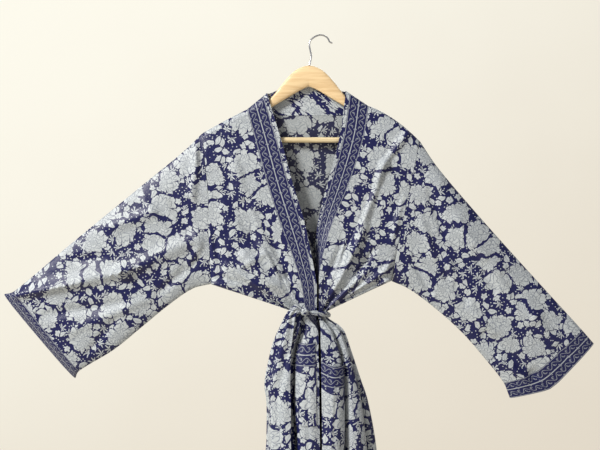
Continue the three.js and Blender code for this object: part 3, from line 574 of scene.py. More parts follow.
def sleeve_points(side, q, v, facing):
    """Outer face of a sleeve: q is 0 at the lower edge and 1 at the upper, facing -1 in front.
    Its depth is the lens section plus the creases of that face."""
    size, armhole = SLEEVE[side].all(v), ARMHOLE[side]
    (low_z, low_x), (tip_z, tip_x) = armhole.rows[0], armhole.rows[-1]
    curve = armhole.at(mix(low_z, tip_z, q), "x") - mix(low_x, tip_x, q)
    peak = size["peak"] * np.where(q < size["at"], q / size["at"], (1 - q) / (1 - size["at"]))
    x = mix(size["lowX"], size["topX"], q) + curve * (1 - ease(v / SLEEVE_HEAD))
    z = mix(size["lowZ"], size["topZ"], q) - peak
    section = size["half"] * lens(q)
    rise = np.where(facing < 0, fore_creases(x, z), creases(BACK_CREASES, x, z, True))
    rise = rise * ease(section / SLEEVE_EDGE) * ease(v / CREASE_START)
    return vectors(x, size["shift"] + facing * (section + rise), z)


tops = [np.ptp(table.rows[:, 1:3], axis=0) for table in SLEEVE.values()]
print("sleeve lengths along the top:", [round(float(np.hypot(*top))) for top in tops])

# %% [markdown]
# ## From a grid of points to a sheet of cloth
# Cloth has two faces, and both show here: the print outside and its dull reverse at the neck and
# in the cuffs. So each sheet is a closed shell with an outer grid, an inner grid and a rim, and
# its inner faces take a second material. The UV map is in metres of real cloth, so the print
# keeps its scale and bends with every fold.


# %% Sheets
SHARP = np.radians(60)


def grid_normals(points):
    """Unit normals of a grid whose rows go up and whose columns go right, seen from outside."""
    return unit(np.cross(np.gradient(points, axis=1), np.gradient(points, axis=0)))


def arc(points, axis):
    """Distance travelled along a grid's rows (axis 1) or columns (axis 0), from its start."""
    steps = np.linalg.norm(np.diff(points, axis=axis), axis=-1)
    pad = [(0, 0), (0, 0)]
    pad[axis] = (1, 0)
    return np.cumsum(np.pad(steps, pad), axis=axis)


def new_mesh(name, points, faces, uv, inside, materials):
    """Object at the origin from points in millimetres, with a UV map in metres. Faces marked as
    inside take the second material."""
    mesh = bpy.data.meshes.new(name)
    mesh.from_pydata((points * MM).tolist(), [], [list(face) for face in faces])
    corners = np.concatenate([np.ravel(face) for face in faces])
    layer = mesh.uv_layers.new(name="cloth")
    layer.data.foreach_set("uv", (uv[corners] * MM).astype(np.float32).ravel())
    mesh.polygons.foreach_set("use_smooth", np.ones(len(faces), bool))
    mesh.polygons.foreach_set("material_index", np.asarray(inside, np.int32))
    mesh.set_sharp_from_angle(angle=SHARP)
    for material in materials:
        mesh.materials.append(material)
    piece = bpy.data.objects.new(name, mesh)
    bpy.context.scene.collection.objects.link(piece)
    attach(piece, "root")
    return piece


def sheet(name, points, normals, uv, materials, thick, out):
    """Closed shell: the grid moved along its normals by out, and by thick less, with rims."""
    rows, width = points.shape[:2]
    count = rows * width
    ids = np.arange(count).reshape(rows, width)
    corners = [ids[:-1, :-1], ids[:-1, 1:], ids[1:, 1:], ids[1:, :-1]]
    outer = np.stack(corners, -1).reshape(-1, 4)
    rim = []
    for line in (ids[0], ids[-1, ::-1], ids[::-1, 0], ids[:, -1]):
        rim.append(np.stack([line[:-1] + count, line[1:] + count, line[1:], line[:-1]], -1))
    faces = np.concatenate([outer, outer[:, ::-1] + count, *rim])
    inside = np.zeros(len(faces), int)
    inside[len(outer) : 2 * len(outer)] = min(1, len(materials) - 1)
    both = np.concatenate([points + normals * out, points + normals * (out - thick)]).reshape(-1, 3)
    piece = new_mesh(name, both, faces, np.tile(uv.reshape(-1, 2), (2, 1)), inside, materials)
    area = sum(p.area for p in piece.data.polygons) / 2
    print(f"{name}: {2 * len(faces)} triangles, {area:.3f} square metres")
    return piece


# %% [markdown]
# ## Writing shaders as sums
# A print is mostly arithmetic on the cloth's own coordinates: distances, angles and thresholds.
# Wiring that by hand takes hundreds of lines, so one small class wraps a socket and turns Python's
# operators into Math nodes. A picture of the print would be simpler, but a formula stays sharp at
# any distance and follows the cloth wherever the UV map goes.


# %% Shader helpers
class Wire:
    """A socket of one material's node tree. Arithmetic on it adds Math nodes: | takes the larger of
    two values, which joins two shapes, and & the smaller, which keeps what they share."""

    def __init__(self, tree, socket):
        self.tree, self.socket = tree, socket

    def node(self, kind, inputs, out=0, **settings):
        """New node of a kind, with its settings first, then values or links for its sockets."""
        made = self.tree.nodes.new("ShaderNode" + kind)
        for key, value in settings.items():
            setattr(made, key, value)
        for key, value in inputs.items():
            if isinstance(value, Wire):
                self.tree.links.new(value.socket, made.inputs[key])
            else:
                made.inputs[key].default_value = value
        return Wire(self.tree, made.outputs[out] if made.outputs else None)

    def math(self, operation, *others):
        return self.node("Math", dict(enumerate((self, *others))), operation=operation)

    def __add__(self, other):
        return self.math("ADD", other)

    def __sub__(self, other):
        return self.math("SUBTRACT", other)

    def __mul__(self, other):
        return self.math("MULTIPLY", other)

    def __truediv__(self, other):
        return self.math("DIVIDE", other)

    def __pow__(self, other):
        return self.math("POWER", other)

    def __gt__(self, other):
        return self.math("GREATER_THAN", other)

    def __lt__(self, other):
        return self.math("LESS_THAN", other)

    def __or__(self, other):
        return self.math("MAXIMUM", other)

    def __and__(self, other):
        return self.math("MINIMUM", other)

    def __abs__(self):
        return self.math("ABSOLUTE")

    def sine(self):
        return self.math("SINE")

    def __rsub__(self, other):
        return self.node("Math", {0: other, 1: self}, operation="SUBTRACT")

    __radd__, __rmul__ = __add__, __mul__

    def rise(self, low, high):
        """0 below low and 1 above high, with a smooth step between."""
        ends = {"Value": self, "From Min": low, "From Max": high}
        return self.node("MapRange", ends, interpolation_type="SMOOTHSTEP")

    def vector(self, operation, *others, out=0):
        return self.node("VectorMath", dict(enumerate((self, *others))), out, operation=operation)

    def part(self, axis):
        return self.node("SeparateXYZ", {0: self}, "XYZ".index(axis))


def blend(a, b, factor):
    """Colour a where the factor is 0 and b where it is 1."""
    return factor.node("Mix", {0: factor, 6: a, 7: b}, 2, data_type="RGBA")


def new_material(name):
    """Empty material, and a wire that holds only its node tree."""
    material = bpy.data.materials.new(name)
    material.use_nodes = True
    material.node_tree.nodes.clear()
    return material, Wire(material.node_tree, None)


def finish_material(start, color, roughness, normal=None, **constants):
    """Principled surface: wires feed colour, roughness and normal, and plain values the rest."""
    inputs = {"Base Color": color, "Roughness": roughness, **constants}
    if normal is not None:
        inputs["Normal"] = normal
    surface = start.node("BsdfPrincipled", inputs)
    start.node("OutputMaterial", {"Surface": surface})


# %% [markdown]
# ## The flower print
# The cloth shows large ragged flower heads, leaves, sprigs, small blossoms and dots, close
# together on indigo. Voronoi cells give each flower its own place and share of the ground, and
# the distance and angle from its middle draw the petals. A carver's block has no straight edge or
# true circle, so the whole place is first swayed by noise, and each head leans its own way.

# %% Print colours and motifs
PALE = (0.50, 0.53, 0.535, 1)
MIST = (0.13, 0.145, 0.19, 1)
INDIGO = (0.004, 0.0055, 0.060, 1)
FLOWER_CELL, LEAF_CELL, DOT_CELL = 61, 18, 7.5


def noise(uv, size, detail=0.0, out=0):
    """Smooth noise with waves of a size in mm."""
    inputs = {"Vector": uv, "Scale": 1 / size, "Detail": detail}
    return uv.node("TexNoise", inputs, out, noise_dimensions="2D")


def swayed(uv, *waves):
    """Place moved by noise. Each wave has a size and a reach in mm."""
    for size, reach in waves:
        move = noise(uv, size, out="Color").vector("SUBTRACT", (0.5, 0.5, 0.5))
        uv = uv.vector("ADD", move.vector("MULTIPLY", (reach, reach, 0)))
    return uv


def cells(uv, size, randomness):
    """Offset in mm from the nearest cell's middle, its random colour and its edge's distance."""
    inputs = {"Vector": uv, "Scale": 1 / size, "Randomness": randomness}
    places = uv.node("TexVoronoi", inputs, "Position", voronoi_dimensions="2D")
    color = Wire(uv.tree, places.socket.node.outputs["Color"])
    edge = uv.node("TexVoronoi", inputs, voronoi_dimensions="2D", feature="DISTANCE_TO_EDGE") * size
    return uv.vector("SUBTRACT", places), color, edge


def polar(offset, share):
    """Distance from the middle, and the angle turned by a share of a whole turn."""
    angle = offset.part("Y").math("ARCTAN2", offset.part("X"))
    return offset.vector("LENGTH", out="Value"), angle + share * TURN


def arches(angle, count):
    """Absolute sine: 1 in the middle of each petal and 0 between two."""
    return abs((angle * count / 2).sine())


def heads(uv):
    """Flower heads: how far inside its edge a place is, in mm, the grey lines, and how far inside
    the head's own rim. The rim is a reach, which leans by two slow sines, times a row of arches
    with nicks in it, and the edge also keeps clear of the next cell."""
    offset, color, edge = cells(uv, FLOWER_CELL, 0.85)
    kind, spin, grow = (color.part(axis) for axis in "XYZ")
    radius, angle = polar(offset, spin)
    count = (kind * 6 + 5.5).math("ROUND")
    arch, nick = arches(angle, count), arches(angle, count * 3)
    lean = 1 + 0.16 * (angle + grow * 20).sine() + 0.1 * (angle * 2 + kind * 20).sine()
    rim = (20.5 + 10 * grow) * lean * (0.62 + 0.32 * arch**0.6 + 0.08 * nick)
    share = radius / rim
    lines = (1 - (arch * radius / count * 2).rise(0.3, 0.8)) * share.rise(0.3, 0.4)
    lines |= 0.6 * (1 - (nick * radius / count * 0.66).rise(0.15, 0.45)) * share.rise(0.45, 0.6)
    for level, petals in ((0.74, 1.0), (0.5, 0.8), (0.27, 0.6)):
        scallop = level * (0.8 + 0.3 * arches(angle + level * 9, (count * petals).math("ROUND")))
        lines |= 1 - abs(share - scallop).rise(0.014, 0.045)
    seeds = abs((radius * 2.4).sine()) * arches(angle, 9) * (1 - share.rise(0.16, 0.24))
    return (rim - radius) & ((edge - 4.8 + 2.6 * arch) * 1.3), lines | seeds, rim - radius


def greens(uv):
    """Leaves, sprigs and small blossoms, one to a cell, and their lines. A leaf is a parabola
    across its length, a sprig a fan of narrow arches, and a blossom five round ones."""
    offset, color, edge = cells(uv, LEAF_CELL, 0.9)
    away, around = polar(offset, color.part("X"))
    along, across = away * around.math("COSINE"), away * around.sine()
    blade = 5.2 * (1 - (along / 10) ** 2) - abs(across)
    sprig = (10.5 * arches(around + np.pi / 7, 7) ** 2.2 - away) & (along + 3)
    bloom = 7.2 * (0.55 + 0.45 * arches(around, 5) ** 0.7) - away
    pick = color.part("Y")
    leafy, blooming = pick < 0.4, pick > 0.72
    shape = blade * leafy + bloom * blooming + sprig * (1 - leafy - blooming)
    ink = (shape & ((edge - 0.6) * 1.3)).rise(0, 0.5)
    rib = (1 - abs(across).rise(0.15, 0.45)) * leafy
    eye = (1 - abs(away - 1.6).rise(0.2, 0.5)) * blooming
    return ink, (rib | eye) * ink


def floral(uv):
    """Share of pale ink from 0 to 1, and of the grey lines in it, at a place in mm on the cloth."""
    bent = swayed(uv, (24, 15), (5.5, 2.6))
    inner, head_lines, outside = heads(bent)
    flower, clear = inner.rise(0, 0.5), (outside * -1 - 1.2).rise(0, 0.5)
    leaf, leaf_lines = greens(swayed(uv, (9, 4)))
    offset, color = cells(uv, DOT_CELL, 0.8)[:2]
    dots = (1.35 - offset.vector("LENGTH", out="Value")).rise(0, 0.4) * (color.part("X") > 0.3)
    ground = clear * (leaf | dots)
    return flower | ground, (head_lines * flower) | (leaf_lines * clear)


# %% [markdown]
# ## The border print
# The neckband, cuffs and pocket mouths carry a border: two rows of a winding vine between thin
# pale lines. A sine wave is the stem, and open rings beside it are the curled tendrils. It runs
# along u, and v counts from the border's outer edge, so every band shows it the same way round.

# %% Border motif
BORDER, VINE_STEP, VINE_ROW, EDGE_LINE, VINE_INK = 45, 25, 11.8, 1.6, 0.46


def border(uv):
    """Share of pale ink at a place on a band: lines, two waves and a tendril in each bend."""
    u, v = uv.part("X"), uv.part("Y")
    ink = 0.8 * (1 - abs(v - BORDER / 2).rise(0.7, 1.3))
    for level in (EDGE_LINE, BORDER - EDGE_LINE):
        ink |= 0.6 * (1 - abs(v - level).rise(0.4, 1.0))
    for middle, shift in ((VINE_ROW, 0.0), (BORDER - VINE_ROW, 0.5)):
        turn = (u / VINE_STEP + shift) * TURN
        stem = 1 - abs(v - middle - 4.8 * turn.sine()).rise(0.6, 1.1)
        within = (((u / VINE_STEP + shift) * 2).math("FRACT") - 0.5) * (VINE_STEP / 2)
        side = turn.sine().math("SIGN")
        down = (v - middle + side * 1.6) * side
        away = (within * within + down * down).math("SQRT")
        tendril = (1 - abs(away - 2.9).rise(0.45, 0.95)) * (within * 1.2 - down + 1.5).rise(0, 0.5)
        bud = 1 - ((within - 1.2) ** 2 + (down + 0.4) ** 2).rise(0.5, 1.6)
        leaf = (1.5 - abs(within + 4.4) * 0.6 - abs(down + 6.6) * 0.9).rise(0, 0.5)
        for motif in (stem, tendril, bud, leaf):
            ink |= VINE_INK * motif
    return ink


# %% [markdown]
# ## Cotton
# The same cloth lies under both prints: a plain weave of fine cotton with a slight glaze. Its
# roughness is a little lower on the bare indigo, and a bump holds the weave, the small crumples
# of washed cotton and the thin layer of print. The reverse shows the print through, duller.


# %% Cotton materials
THREADS = TURN / 0.6  # a wave of the weave is 0.6 mm
OUTSIDE = (INDIGO, PALE, MIST)
INSIDE = ((0.014, 0.015, 0.05, 1), (0.40, 0.42, 0.42, 1), (0.20, 0.22, 0.24, 1))
GLAZE = {"Sheen Weight": 0.04, "Sheen Roughness": 0.35, "Specular IOR Level": 0.38}


def cotton(name, kind, colors=OUTSIDE):
    """Printed cotton: the print's share of pale ink picks the colour, noise makes it uneven, and
    the bump adds crumples, the weave and the ink."""
    material, start = new_material(name)
    uv = start.node("UVMap", {}, uv_map="cloth").vector("SCALE")
    uv.socket.node.inputs["Scale"].default_value = 1 / MM
    if kind == "floral":
        ink, lines = floral(uv)
    else:
        ink, lines = border(uv), None
        if kind == "neckband":
            flowers, flower_lines = floral(uv)
            past = uv.part("Y") > BORDER
            ink = ink * (1 - past) + flowers * past
            lines = flower_lines * past
    blot, worn = noise(uv, 9, 3.0), noise(uv, 1.1, 2.0)
    ink = ink * (0.9 + 0.3 * (blot - 0.5)) * (0.86 + 0.26 * worn)
    dark, pale, mist = colors
    color = blend(dark, pale, ink)
    if lines is not None:
        color = blend(color, mist, lines * (0.5 + 0.5 * worn))
    weave = (uv.part("X") * THREADS).sine() * (uv.part("Y") * THREADS).sine()
    height = noise(uv, 28, 3.0) * 2.6 + weave * 0.03 + ink * 0.05
    bump = start.node("Bump", {"Height": height, "Distance": MM, "Strength": 0.8})
    finish_material(start, color, 0.40 + 0.14 * ink, bump, **GLAZE)
    return material


FLORAL = cotton("cotton_floral", "floral")
VINE = cotton("cotton_border", "border")
NECK_PRINT = cotton("cotton_neckband", "neckband")
REVERSE = cotton("cotton_reverse", "floral", INSIDE)
print("cotton nodes:", len(FLORAL.node_tree.nodes), len(VINE.node_tree.nodes))

# %% [markdown]
# ## Taking the place of a node
# Each piece below stands for one node of the imported model, which is then hidden. The plain print
# and the border print are two materials, so that each can be changed alone.


def dress(piece, node, slot):
    """Hide the node that a piece takes the place of. The piece and the slot are not used."""
    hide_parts(node)


def cloth(node, points, normals, uv, outer, inner, thick=COTTON_THICK, out=0.0, name=None):
    """Sheet in the place of a node, printed with the outer material and backed with the inner."""
    piece = sheet(name or node + "_cloth", points, normals, uv, [outer, inner], thick, out)
    dress(piece, node, "print" if outer == FLORAL else "border")


# %% [markdown]
# ## Making the fronts
# A front and its neckband are worked out as one grid, so that the band's first row of points has
# the same normals as the front's last one and the two sheets meet without a step. The upper
# part lies nearly flat, so its print is laid straight on x and z. In the skirt the distance
# along the ring takes the place of x, because there the cloth runs in and out of the folds.


# %% Fronts and their bands
RING_LEVEL = -0.009  # just below the waist


def panel_levels():
    """Rows from the hem up, closer together at the waist and at the shoulder."""
    skirt = -(np.linspace(1, 0, 171)[:-1] ** 1.15)
    chest_rows = 1 + np.linspace(0, 0.9, 64)[:-1]
    shoulder = 1 + 0.9 + 0.1 * (1 - np.linspace(1, 0, 20) ** 2)
    return np.concatenate([skirt, np.linspace(0, 1, 21)[:-1], chest_rows, shoulder])


def panel_uv(points, level, start_column, shift):
    """Print place: u from the distance along the ring below the waist and from x above it, v from
    the height over the hem."""
    run = arc(points, 1)
    run = run - run[:, start_column : start_column + 1]
    u = np.where(level < RING_LEVEL, run, points[..., 0] - points[:1, start_column, None, 0])
    return np.stack([u + shift, points[..., 2] - HEM_Z], -1)


def band_uv(points, share, shift):
    """Border place: u along the band, v across it from the outer edge."""
    u = np.broadcast_to(arc(points, 0).mean(axis=1, keepdims=True), share.shape)
    return np.stack([u + shift, share * BAND_WIDTH], -1)


FRONT_COLUMNS, BAND_COLUMNS = 74, 12
# Where on the print each piece is cut, in mm, so that no two show the same flowers
FRONTS_AT = {"left": 300, "right": 900}
SLEEVES_AT = {"left": 2900, "right": 4300}
BACK_AT, COLLAR_AT, POCKETS_AT, ROPE_AT, KNOT_AT = 1700, 400, 5200, 6000, (6500, 6200)
LEVELS = panel_levels()
for side, shift in FRONTS_AT.items():
    level, s = grid(LEVELS, np.linspace(0, 1, FRONT_COLUMNS + 1))
    band_level, band_s = grid(LEVELS, np.linspace(0, 1, BAND_COLUMNS + 1))
    front, band = front_points(side, s, level), band_points(side, band_s, band_level)
    whole = np.concatenate([front, band[:, 1:]], axis=1)
    order = slice(None) if side == "left" else slice(None, None, -1)
    normals = grid_normals(whole[:, order])[:, order]
    front_uv = panel_uv(front, level, FRONT_COLUMNS, shift)
    neck_uv = band_uv(whole[:, FRONT_COLUMNS:], band_s, shift)
    for part, columns, uv, outer, thick in (
        ("front", slice(FRONT_COLUMNS + 1), front_uv, FLORAL, COTTON_THICK),
        ("neckband", slice(FRONT_COLUMNS, None), neck_uv, NECK_PRINT, BAND_THICK),
    ):
        parts = [whole[:, columns], normals[:, columns], uv]
        cloth(f"{part}_{side}", *[a[:, order] for a in parts], outer, REVERSE, thick)

# %% [markdown]
# ## Back and back neckband
# The back is the same kind of grid. The back neckband stands up from the neck seam, and its
# points crowd together at both shoulders, where it turns forward most.

# %% Back
BACK_COLUMNS = 128
level, s = grid(LEVELS, np.linspace(1, 0, BACK_COLUMNS + 1))
back = back_points(s, level)
back_uv = panel_uv(back, level, BACK_COLUMNS // 2, BACK_AT)
cloth("back", back, grid_normals(back), back_uv, FLORAL, REVERSE)

up, s = grid(np.linspace(0, 1, 10), (1 + np.cos(np.linspace(0, np.pi, 61))) / 2)
collar = back_band_points(s, up)
collar_uv = np.stack([arc(collar, 1) + COLLAR_AT, up * BAND_WIDTH], -1)
cloth("neckband_back", collar, grid_normals(collar), collar_uv, NECK_PRINT, FLORAL, BAND_THICK)

# %% [markdown]
# ## Sleeves and cuffs
# A sleeve is closed along its lower edge, so its grid runs from that seam up the front, over the
# fold and down the back, and its two ends lie together at the seam. The print is laid flat on
# each face and folded over the upper edge, as the real panel is.


# %% Sleeve and cuff sheets
FACE_POINTS = 49


def sleeve_grid(side, v):
    """Points and print places of rows v round the sleeve, from the lower seam and back to it."""
    half = np.linspace(0, 1, FACE_POINTS)
    t = np.concatenate([half, half[-2::-1]])
    facing = np.concatenate([-np.ones(FACE_POINTS), np.ones(FACE_POINTS - 1)])
    if side == "right":
        t, facing = t[::-1], facing[::-1]
    rows, q = grid(v, (1 - np.cos(np.pi * t)) / 2)
    face = np.broadcast_to(facing, rows.shape)
    points = sleeve_points(side, q, rows, face)
    along = unit(SLEEVE[side].rows[-1, 1:3] - SLEEVE[side].rows[0, 1:3])
    across = np.array([-along[1], along[0]])
    flat = points[..., [0, 2]]
    fold = flat[:, FACE_POINTS - 1 : FACE_POINTS] @ across
    high = flat @ across
    return points, np.stack([flat @ along, np.where(face < 0, high, 2 * fold - high)], -1)


SLEEVE_ROWS = np.concatenate([np.linspace(0, 0.06, 8)[:-1], np.linspace(0.06, CUFF_START, 116)])
CUFF_ROWS = np.linspace(CUFF_START, 1, 13)
share = (CUFF_ROWS - CUFF_START)[:, None] / (1 - CUFF_START)
last = len(SLEEVE_ROWS) - 1
upper, cuff = slice(last + 1), slice(last, None)
for side, shift in SLEEVES_AT.items():
    points, uv = sleeve_grid(side, np.concatenate([SLEEVE_ROWS, CUFF_ROWS[1:]]))
    normals = grid_normals(points)
    cloth(f"sleeve_{side}", points[upper], normals[upper], uv[upper] + shift, FLORAL, REVERSE)
    cuff_uv = np.stack(np.broadcast_arrays(arc(points[cuff], 1), BORDER * (1 - share)), -1)
    cloth(f"cuff_{side}", points[cuff], normals[cuff], cuff_uv, VINE, REVERSE, BAND_THICK)

# %% [markdown]
# ## Patch pockets
# A pocket lies on its front, so its points are the front's own, moved out, and only its mouth
# hangs a little open. Taking them from the same grid keeps the patch in the folds of the skirt.

# %% Pockets
POCKET = {
    "left": dict(low=0.708, high=0.958, top=-608, band=-653, foot=-768, gape=2, sag=3),
    "right": dict(low=0.7, high=1.0, top=-644, band=-689, foot=-804, gape=7, sag=12),
}


def pocket_cloth(side, part, top, foot, outer):
    """Grid on the front between two heights, moved out by its slack: gape times a parabola across
    the mouth, times the square of the share of the height."""
    size = POCKET[side]
    z = np.linspace(size[foot], size[top], 31)
    level, s = grid((z - WAIST_Z) / (WAIST_Z - HEM_Z), np.linspace(size["low"], size["high"], 41))
    if side == "right":
        s = s[:, ::-1]
    points = front_points(side, s, level)
    normals = grid_normals(points)
    across = 2 * (s - size["low"]) / (size["high"] - size["low"]) - 1
    open_share = (z[:, None] - size["foot"]) / (size["top"] - size["foot"])
    slack = (1 - across**2) * np.clip(open_share, 0, 1) ** 2
    points = points + normals * (size["gape"] * slack)[..., None]
    points[..., 2] -= size["sag"] * slack
    below = size["top"] - points[..., 2] - size["sag"] * slack
    uv = np.stack([arc(points, 1) + POCKETS_AT, below], -1)
    cloth(f"{part}_{side}", points, normals, uv, outer, REVERSE, 0.9, 1.5)


for side in POCKET:
    pocket_cloth(side, "pocket", "band", "foot", FLORAL)
    pocket_cloth(side, "pocket_band", "top", "band", VINE)

# %% [markdown]
# ## The sash
# The sash is a strip of the same cloth. Pulled tight round the waist it twists into a rope, then
# it is tied at the viewer's left, and its two ends hang down over the skirt. The rope is a
# section carried round an oval, with the folds of the twist as waves that turn as they go.

# %% Sash round the waist
ROPE = dict(thick=7, high=11, clear=1.9, front_z=-551, side_z=-557.5, turns=5, pinch=0.18)
waist = dict(zip(SKIRT.names, SKIRT.rows[-1]))


def rope_points(angle, turn):
    """Twisted rope: an upright oval section whose radius dips where its folds lie. Angle goes
    round the waist and turn round the section."""
    reach = ROPE["clear"] + ROPE["thick"] / 2
    ahead = np.maximum(0, np.cos(angle)) ** 2
    across, middle = (waist["right"] - waist["left"]) / 2, (waist["right"] + waist["left"]) / 2
    twist = ROPE["turns"] * angle
    groove = 1 - ROPE["pinch"] * (1 - np.cos(2 * turn + twist)) / 2
    groove = groove - 0.07 * (1 - np.cos(5 * turn + 2.5 * twist + np.sin(3 * angle))) / 2
    out = groove * np.cos(turn) * ROPE["thick"] / 2
    x = middle + (across + reach + out) * np.sin(angle)
    y = -(waist["half"] + reach + out) * np.cos(angle)
    z = mix(ROPE["side_z"], ROPE["front_z"], ahead) + groove * np.sin(turn) * ROPE["high"] / 2
    return vectors(x, y, z)


def closed_tube(name, points, uv, materials, ends=False):
    """Closed mesh from rings of points. Rings run round in the columns, and the rows either close
    on the first one or end in a small flat cap."""
    rows, width = points.shape[:2]
    ids = np.arange(rows * width).reshape(rows, width)
    around = np.roll(ids, -1, axis=1)
    if ends:
        faces = np.stack([ids[:-1], ids[1:], around[1:], around[:-1]], -1).reshape(-1, 4)
        faces = [*faces, ids[0], ids[-1, ::-1]]
    else:
        ahead, ahead_around = np.roll(ids, -1, 0), np.roll(around, -1, 0)
        faces = np.stack([ids, ahead, ahead_around, around], -1).reshape(-1, 4)
    inside = np.zeros(len(faces))
    piece = new_mesh(name, points.reshape(-1, 3), faces, uv.reshape(-1, 2), inside, materials)
    print(f"{name}: {2 * len(faces)} triangles")
    return piece


angle, turn = grid(round_turn(260), round_turn(36))
rope_uv = np.stack([angle * 45 + 9 * np.sin(turn), turn * 7 + ROPE_AT], -1)
dress(closed_tube("sash_rope", rope_points(angle, turn), rope_uv, [FLORAL]), "belt_waist", "print")

# %% [markdown]
# ## Knot
# The knot is where the sash wraps over itself, so it is a small rounded lump with the wrap's
# edges as slanting grooves. Poles are closed by shrinking the end rings to a point.


# %% Knot
KNOT = dict(x=-31, y=-32.6, z=-548, half_x=7.4, half_y=6.2, half_z=8.4)


def knot_points(across, around):
    """Egg shape: a sine across, times two cosines that spiral round it as grooves."""
    wrap = 1 + 0.10 * np.cos(2 * around + 5 * across) + 0.05 * np.cos(5 * around - 7 * across)
    radius = np.sin(across) * wrap
    x = KNOT["x"] - KNOT["half_x"] * np.cos(across) * (1 + 0.06 * np.cos(3 * around))
    y = KNOT["y"] - KNOT["half_y"] * radius * np.cos(around)
    return vectors(x, y, KNOT["z"] + KNOT["half_z"] * radius * np.sin(around))


across, around = grid(np.linspace(0.02, np.pi - 0.02, 41), round_turn(48))
knot_uv = np.stack([around * 8, across * 9], -1) + KNOT_AT
knot = closed_tube("sash_knot", knot_points(across, around), knot_uv, [FLORAL], ends=True)
dress(knot, "belt_knot", "print")

# %% [markdown]
# ## Hanging ends of the sash
# Both ends are ribbons given by their two edges at a few heights. The middle stands forward in
# an arch, and a few lengthwise folds run down it, as in a strip that was just untwisted.

# %% Sash ends
TAIL = {
    "front": Table(
        "row x0 y0 z0 x1 y1 z1 out",
        (0, -38.4, -33, -539, -38.2, -34, -546.5, 0),
        (1, -48, -34, -534, -44, -36, -547, 2),
        (2, -58, -33, -541, -48, -38, -553, 3),
        (3, -67, -29, -553, -50, -38, -562, 4),
        (4, -76, -24, -571, -52, -38, -577, 5),
        (5, -90, -20, -602, -55, -38, -602, 6),
        (6, -98, -18, -628, -58, -38, -628, 7),
        (7, -108, -16, -675, -59, -43, -675, 8),
        (8, -110, -16, -700, -59, -46, -700, 8),
        (9, -106, -16, -728, -58, -49, -728, 9),
        (10, -106, -17, -790, -58, -53, -790, 10),
        (11, -108, -18, -828, -58, -54, -828, 10),
        (12, -123, -20, -960, -68, -59, -960, 10),
        (13, -133, -30, -1100, -77, -62, -1100, 8),
        (14, -139, -40, -1240, -86, -66, -1240, 6),
    ),
    "back": Table(
        "row x0 y0 z0 x1 y1 z1 out",
        (0, -46, -23.9, -554, -38, -27, -555, 0),
        (1, -51, -28, -572, -40, -31, -574, 0),
        (2, -55, -28, -590, -45, -32, -592, 1),
        (3, -70, -24, -630, -56, -30, -630, 2),
        (4, -86, -22, -680, -62, -36.5, -680, 3),
        (5, -92, -22, -728, -62, -42, -728, 4),
        (6, -96, -22, -828, -64, -47, -828, 5),
        (7, -108, -24, -960, -72, -51, -960, 5),
        (8, -126, -38, -1180, -84, -57, -1180, 4),
    ),
}


def ribbon_points(table, row, s, fold):
    """Between the two edges in a straight line, moved out by an arch and by two folds whose place
    drifts down the strip."""
    size = table.all(row)
    near, far = (vectors(*[size[axis + end] for axis in "xyz"]) for end in "01")
    outward = unit(vectors(near[..., 1] * -1 + far[..., 1], near[..., 0] - far[..., 0], 0))
    arch = size["out"] * bow(s)
    drift = 1.9 * s + 0.25 * np.sin(0.9 * row) + 0.05 * row
    folds = fold * np.sin(2 * np.pi * drift) * ease(row / 3) * np.sin(np.pi * s) ** 0.5
    return mix(near, far, s[..., None]) + outward * (arch + folds)[..., None]


for end, fold, start in (("front", 2.6, 7000), ("back", 1.2, 7600)):
    table = TAIL[end]
    rows = np.linspace(table.rows[-1, 0], 0, 12 * (len(table.rows) - 1) + 1)
    row, s = grid(rows, np.linspace(0, 1, 27))
    points = ribbon_points(table, row, s, fold)
    uv = np.stack([arc(points, 1) + start, arc(points, 0)], -1)
    node, name = f"belt_tail_{end}", f"sash_end_{end}"
    cloth(node, points, grid_normals(points), uv, FLORAL, REVERSE, 1.2, 0.6, name)

# %% [markdown]
# ## Varnished wood and bright wire
# The hanger is pale wood under clear varnish. Its grain runs along the arms, so a noise stretched
# along x colours it, and finer streaks darken it. A clear coat gives the gloss over the softer
# wood. The hook is plated wire, a plain metal whose roughness varies a little.


# %% Hanger materials
def varnished_wood(name, light, dark):
    """Wood: stretched noise for the grain, finer streaks over it, and a clear coat."""
    material, start = new_material(name)
    place = start.node("TexCoord", {}, "Object")
    along = place.node("Mapping", {"Vector": place, "Scale": (9, 90, 140)})
    grain = along.node("TexNoise", {"Vector": along, "Scale": 1.0, "Detail": 4.0, "Distortion": 1.2})
    streaks = place.node("Mapping", {"Vector": place, "Scale": (30, 600, 900)})
    fine = streaks.node("TexNoise", {"Vector": streaks, "Scale": 1.0, "Detail": 2.0})
    share = grain.rise(0.35, 0.7) * 0.75 + fine.rise(0.5, 0.8) * 0.3
    bump = start.node("Bump", {"Height": fine, "Distance": 0.15 * MM, "Strength": 0.4})
    varnish = {"Coat Weight": 0.5, "Coat Roughness": 0.12}
    finish_material(start, blend(light, dark, share), 0.38 + 0.12 * share, bump, **varnish)
    return material


def plated_wire(name):
    """Bright metal whose roughness varies with a fine noise."""
    material, start = new_material(name)
    place = start.node("TexCoord", {}, "Object")
    wear = place.node("TexNoise", {"Vector": place, "Scale": 400.0, "Detail": 2.0})
    color = blend((0.62, 0.62, 0.63, 1), (0.42, 0.42, 0.44, 1), wear)
    finish_material(start, color, 0.16 + 0.2 * wear, Metallic=1.0)
    return material


WOOD = varnished_wood("varnished_wood", (0.80, 0.59, 0.33, 1), (0.61, 0.40, 0.19, 1))
BAR_WOOD = varnished_wood("bar_wood", (0.78, 0.64, 0.40, 1), (0.55, 0.42, 0.22, 1))
STEEL = plated_wire("plated_wire")

# %% [markdown]
# ## The hanger
# The body is one shaped board with rounded edges: an upper and a lower edge line, and between
# them an oval section that is squarer than an ellipse. At each tip the section shrinks to
# nothing along a quarter circle. The bar and the hook are round sections on a line.

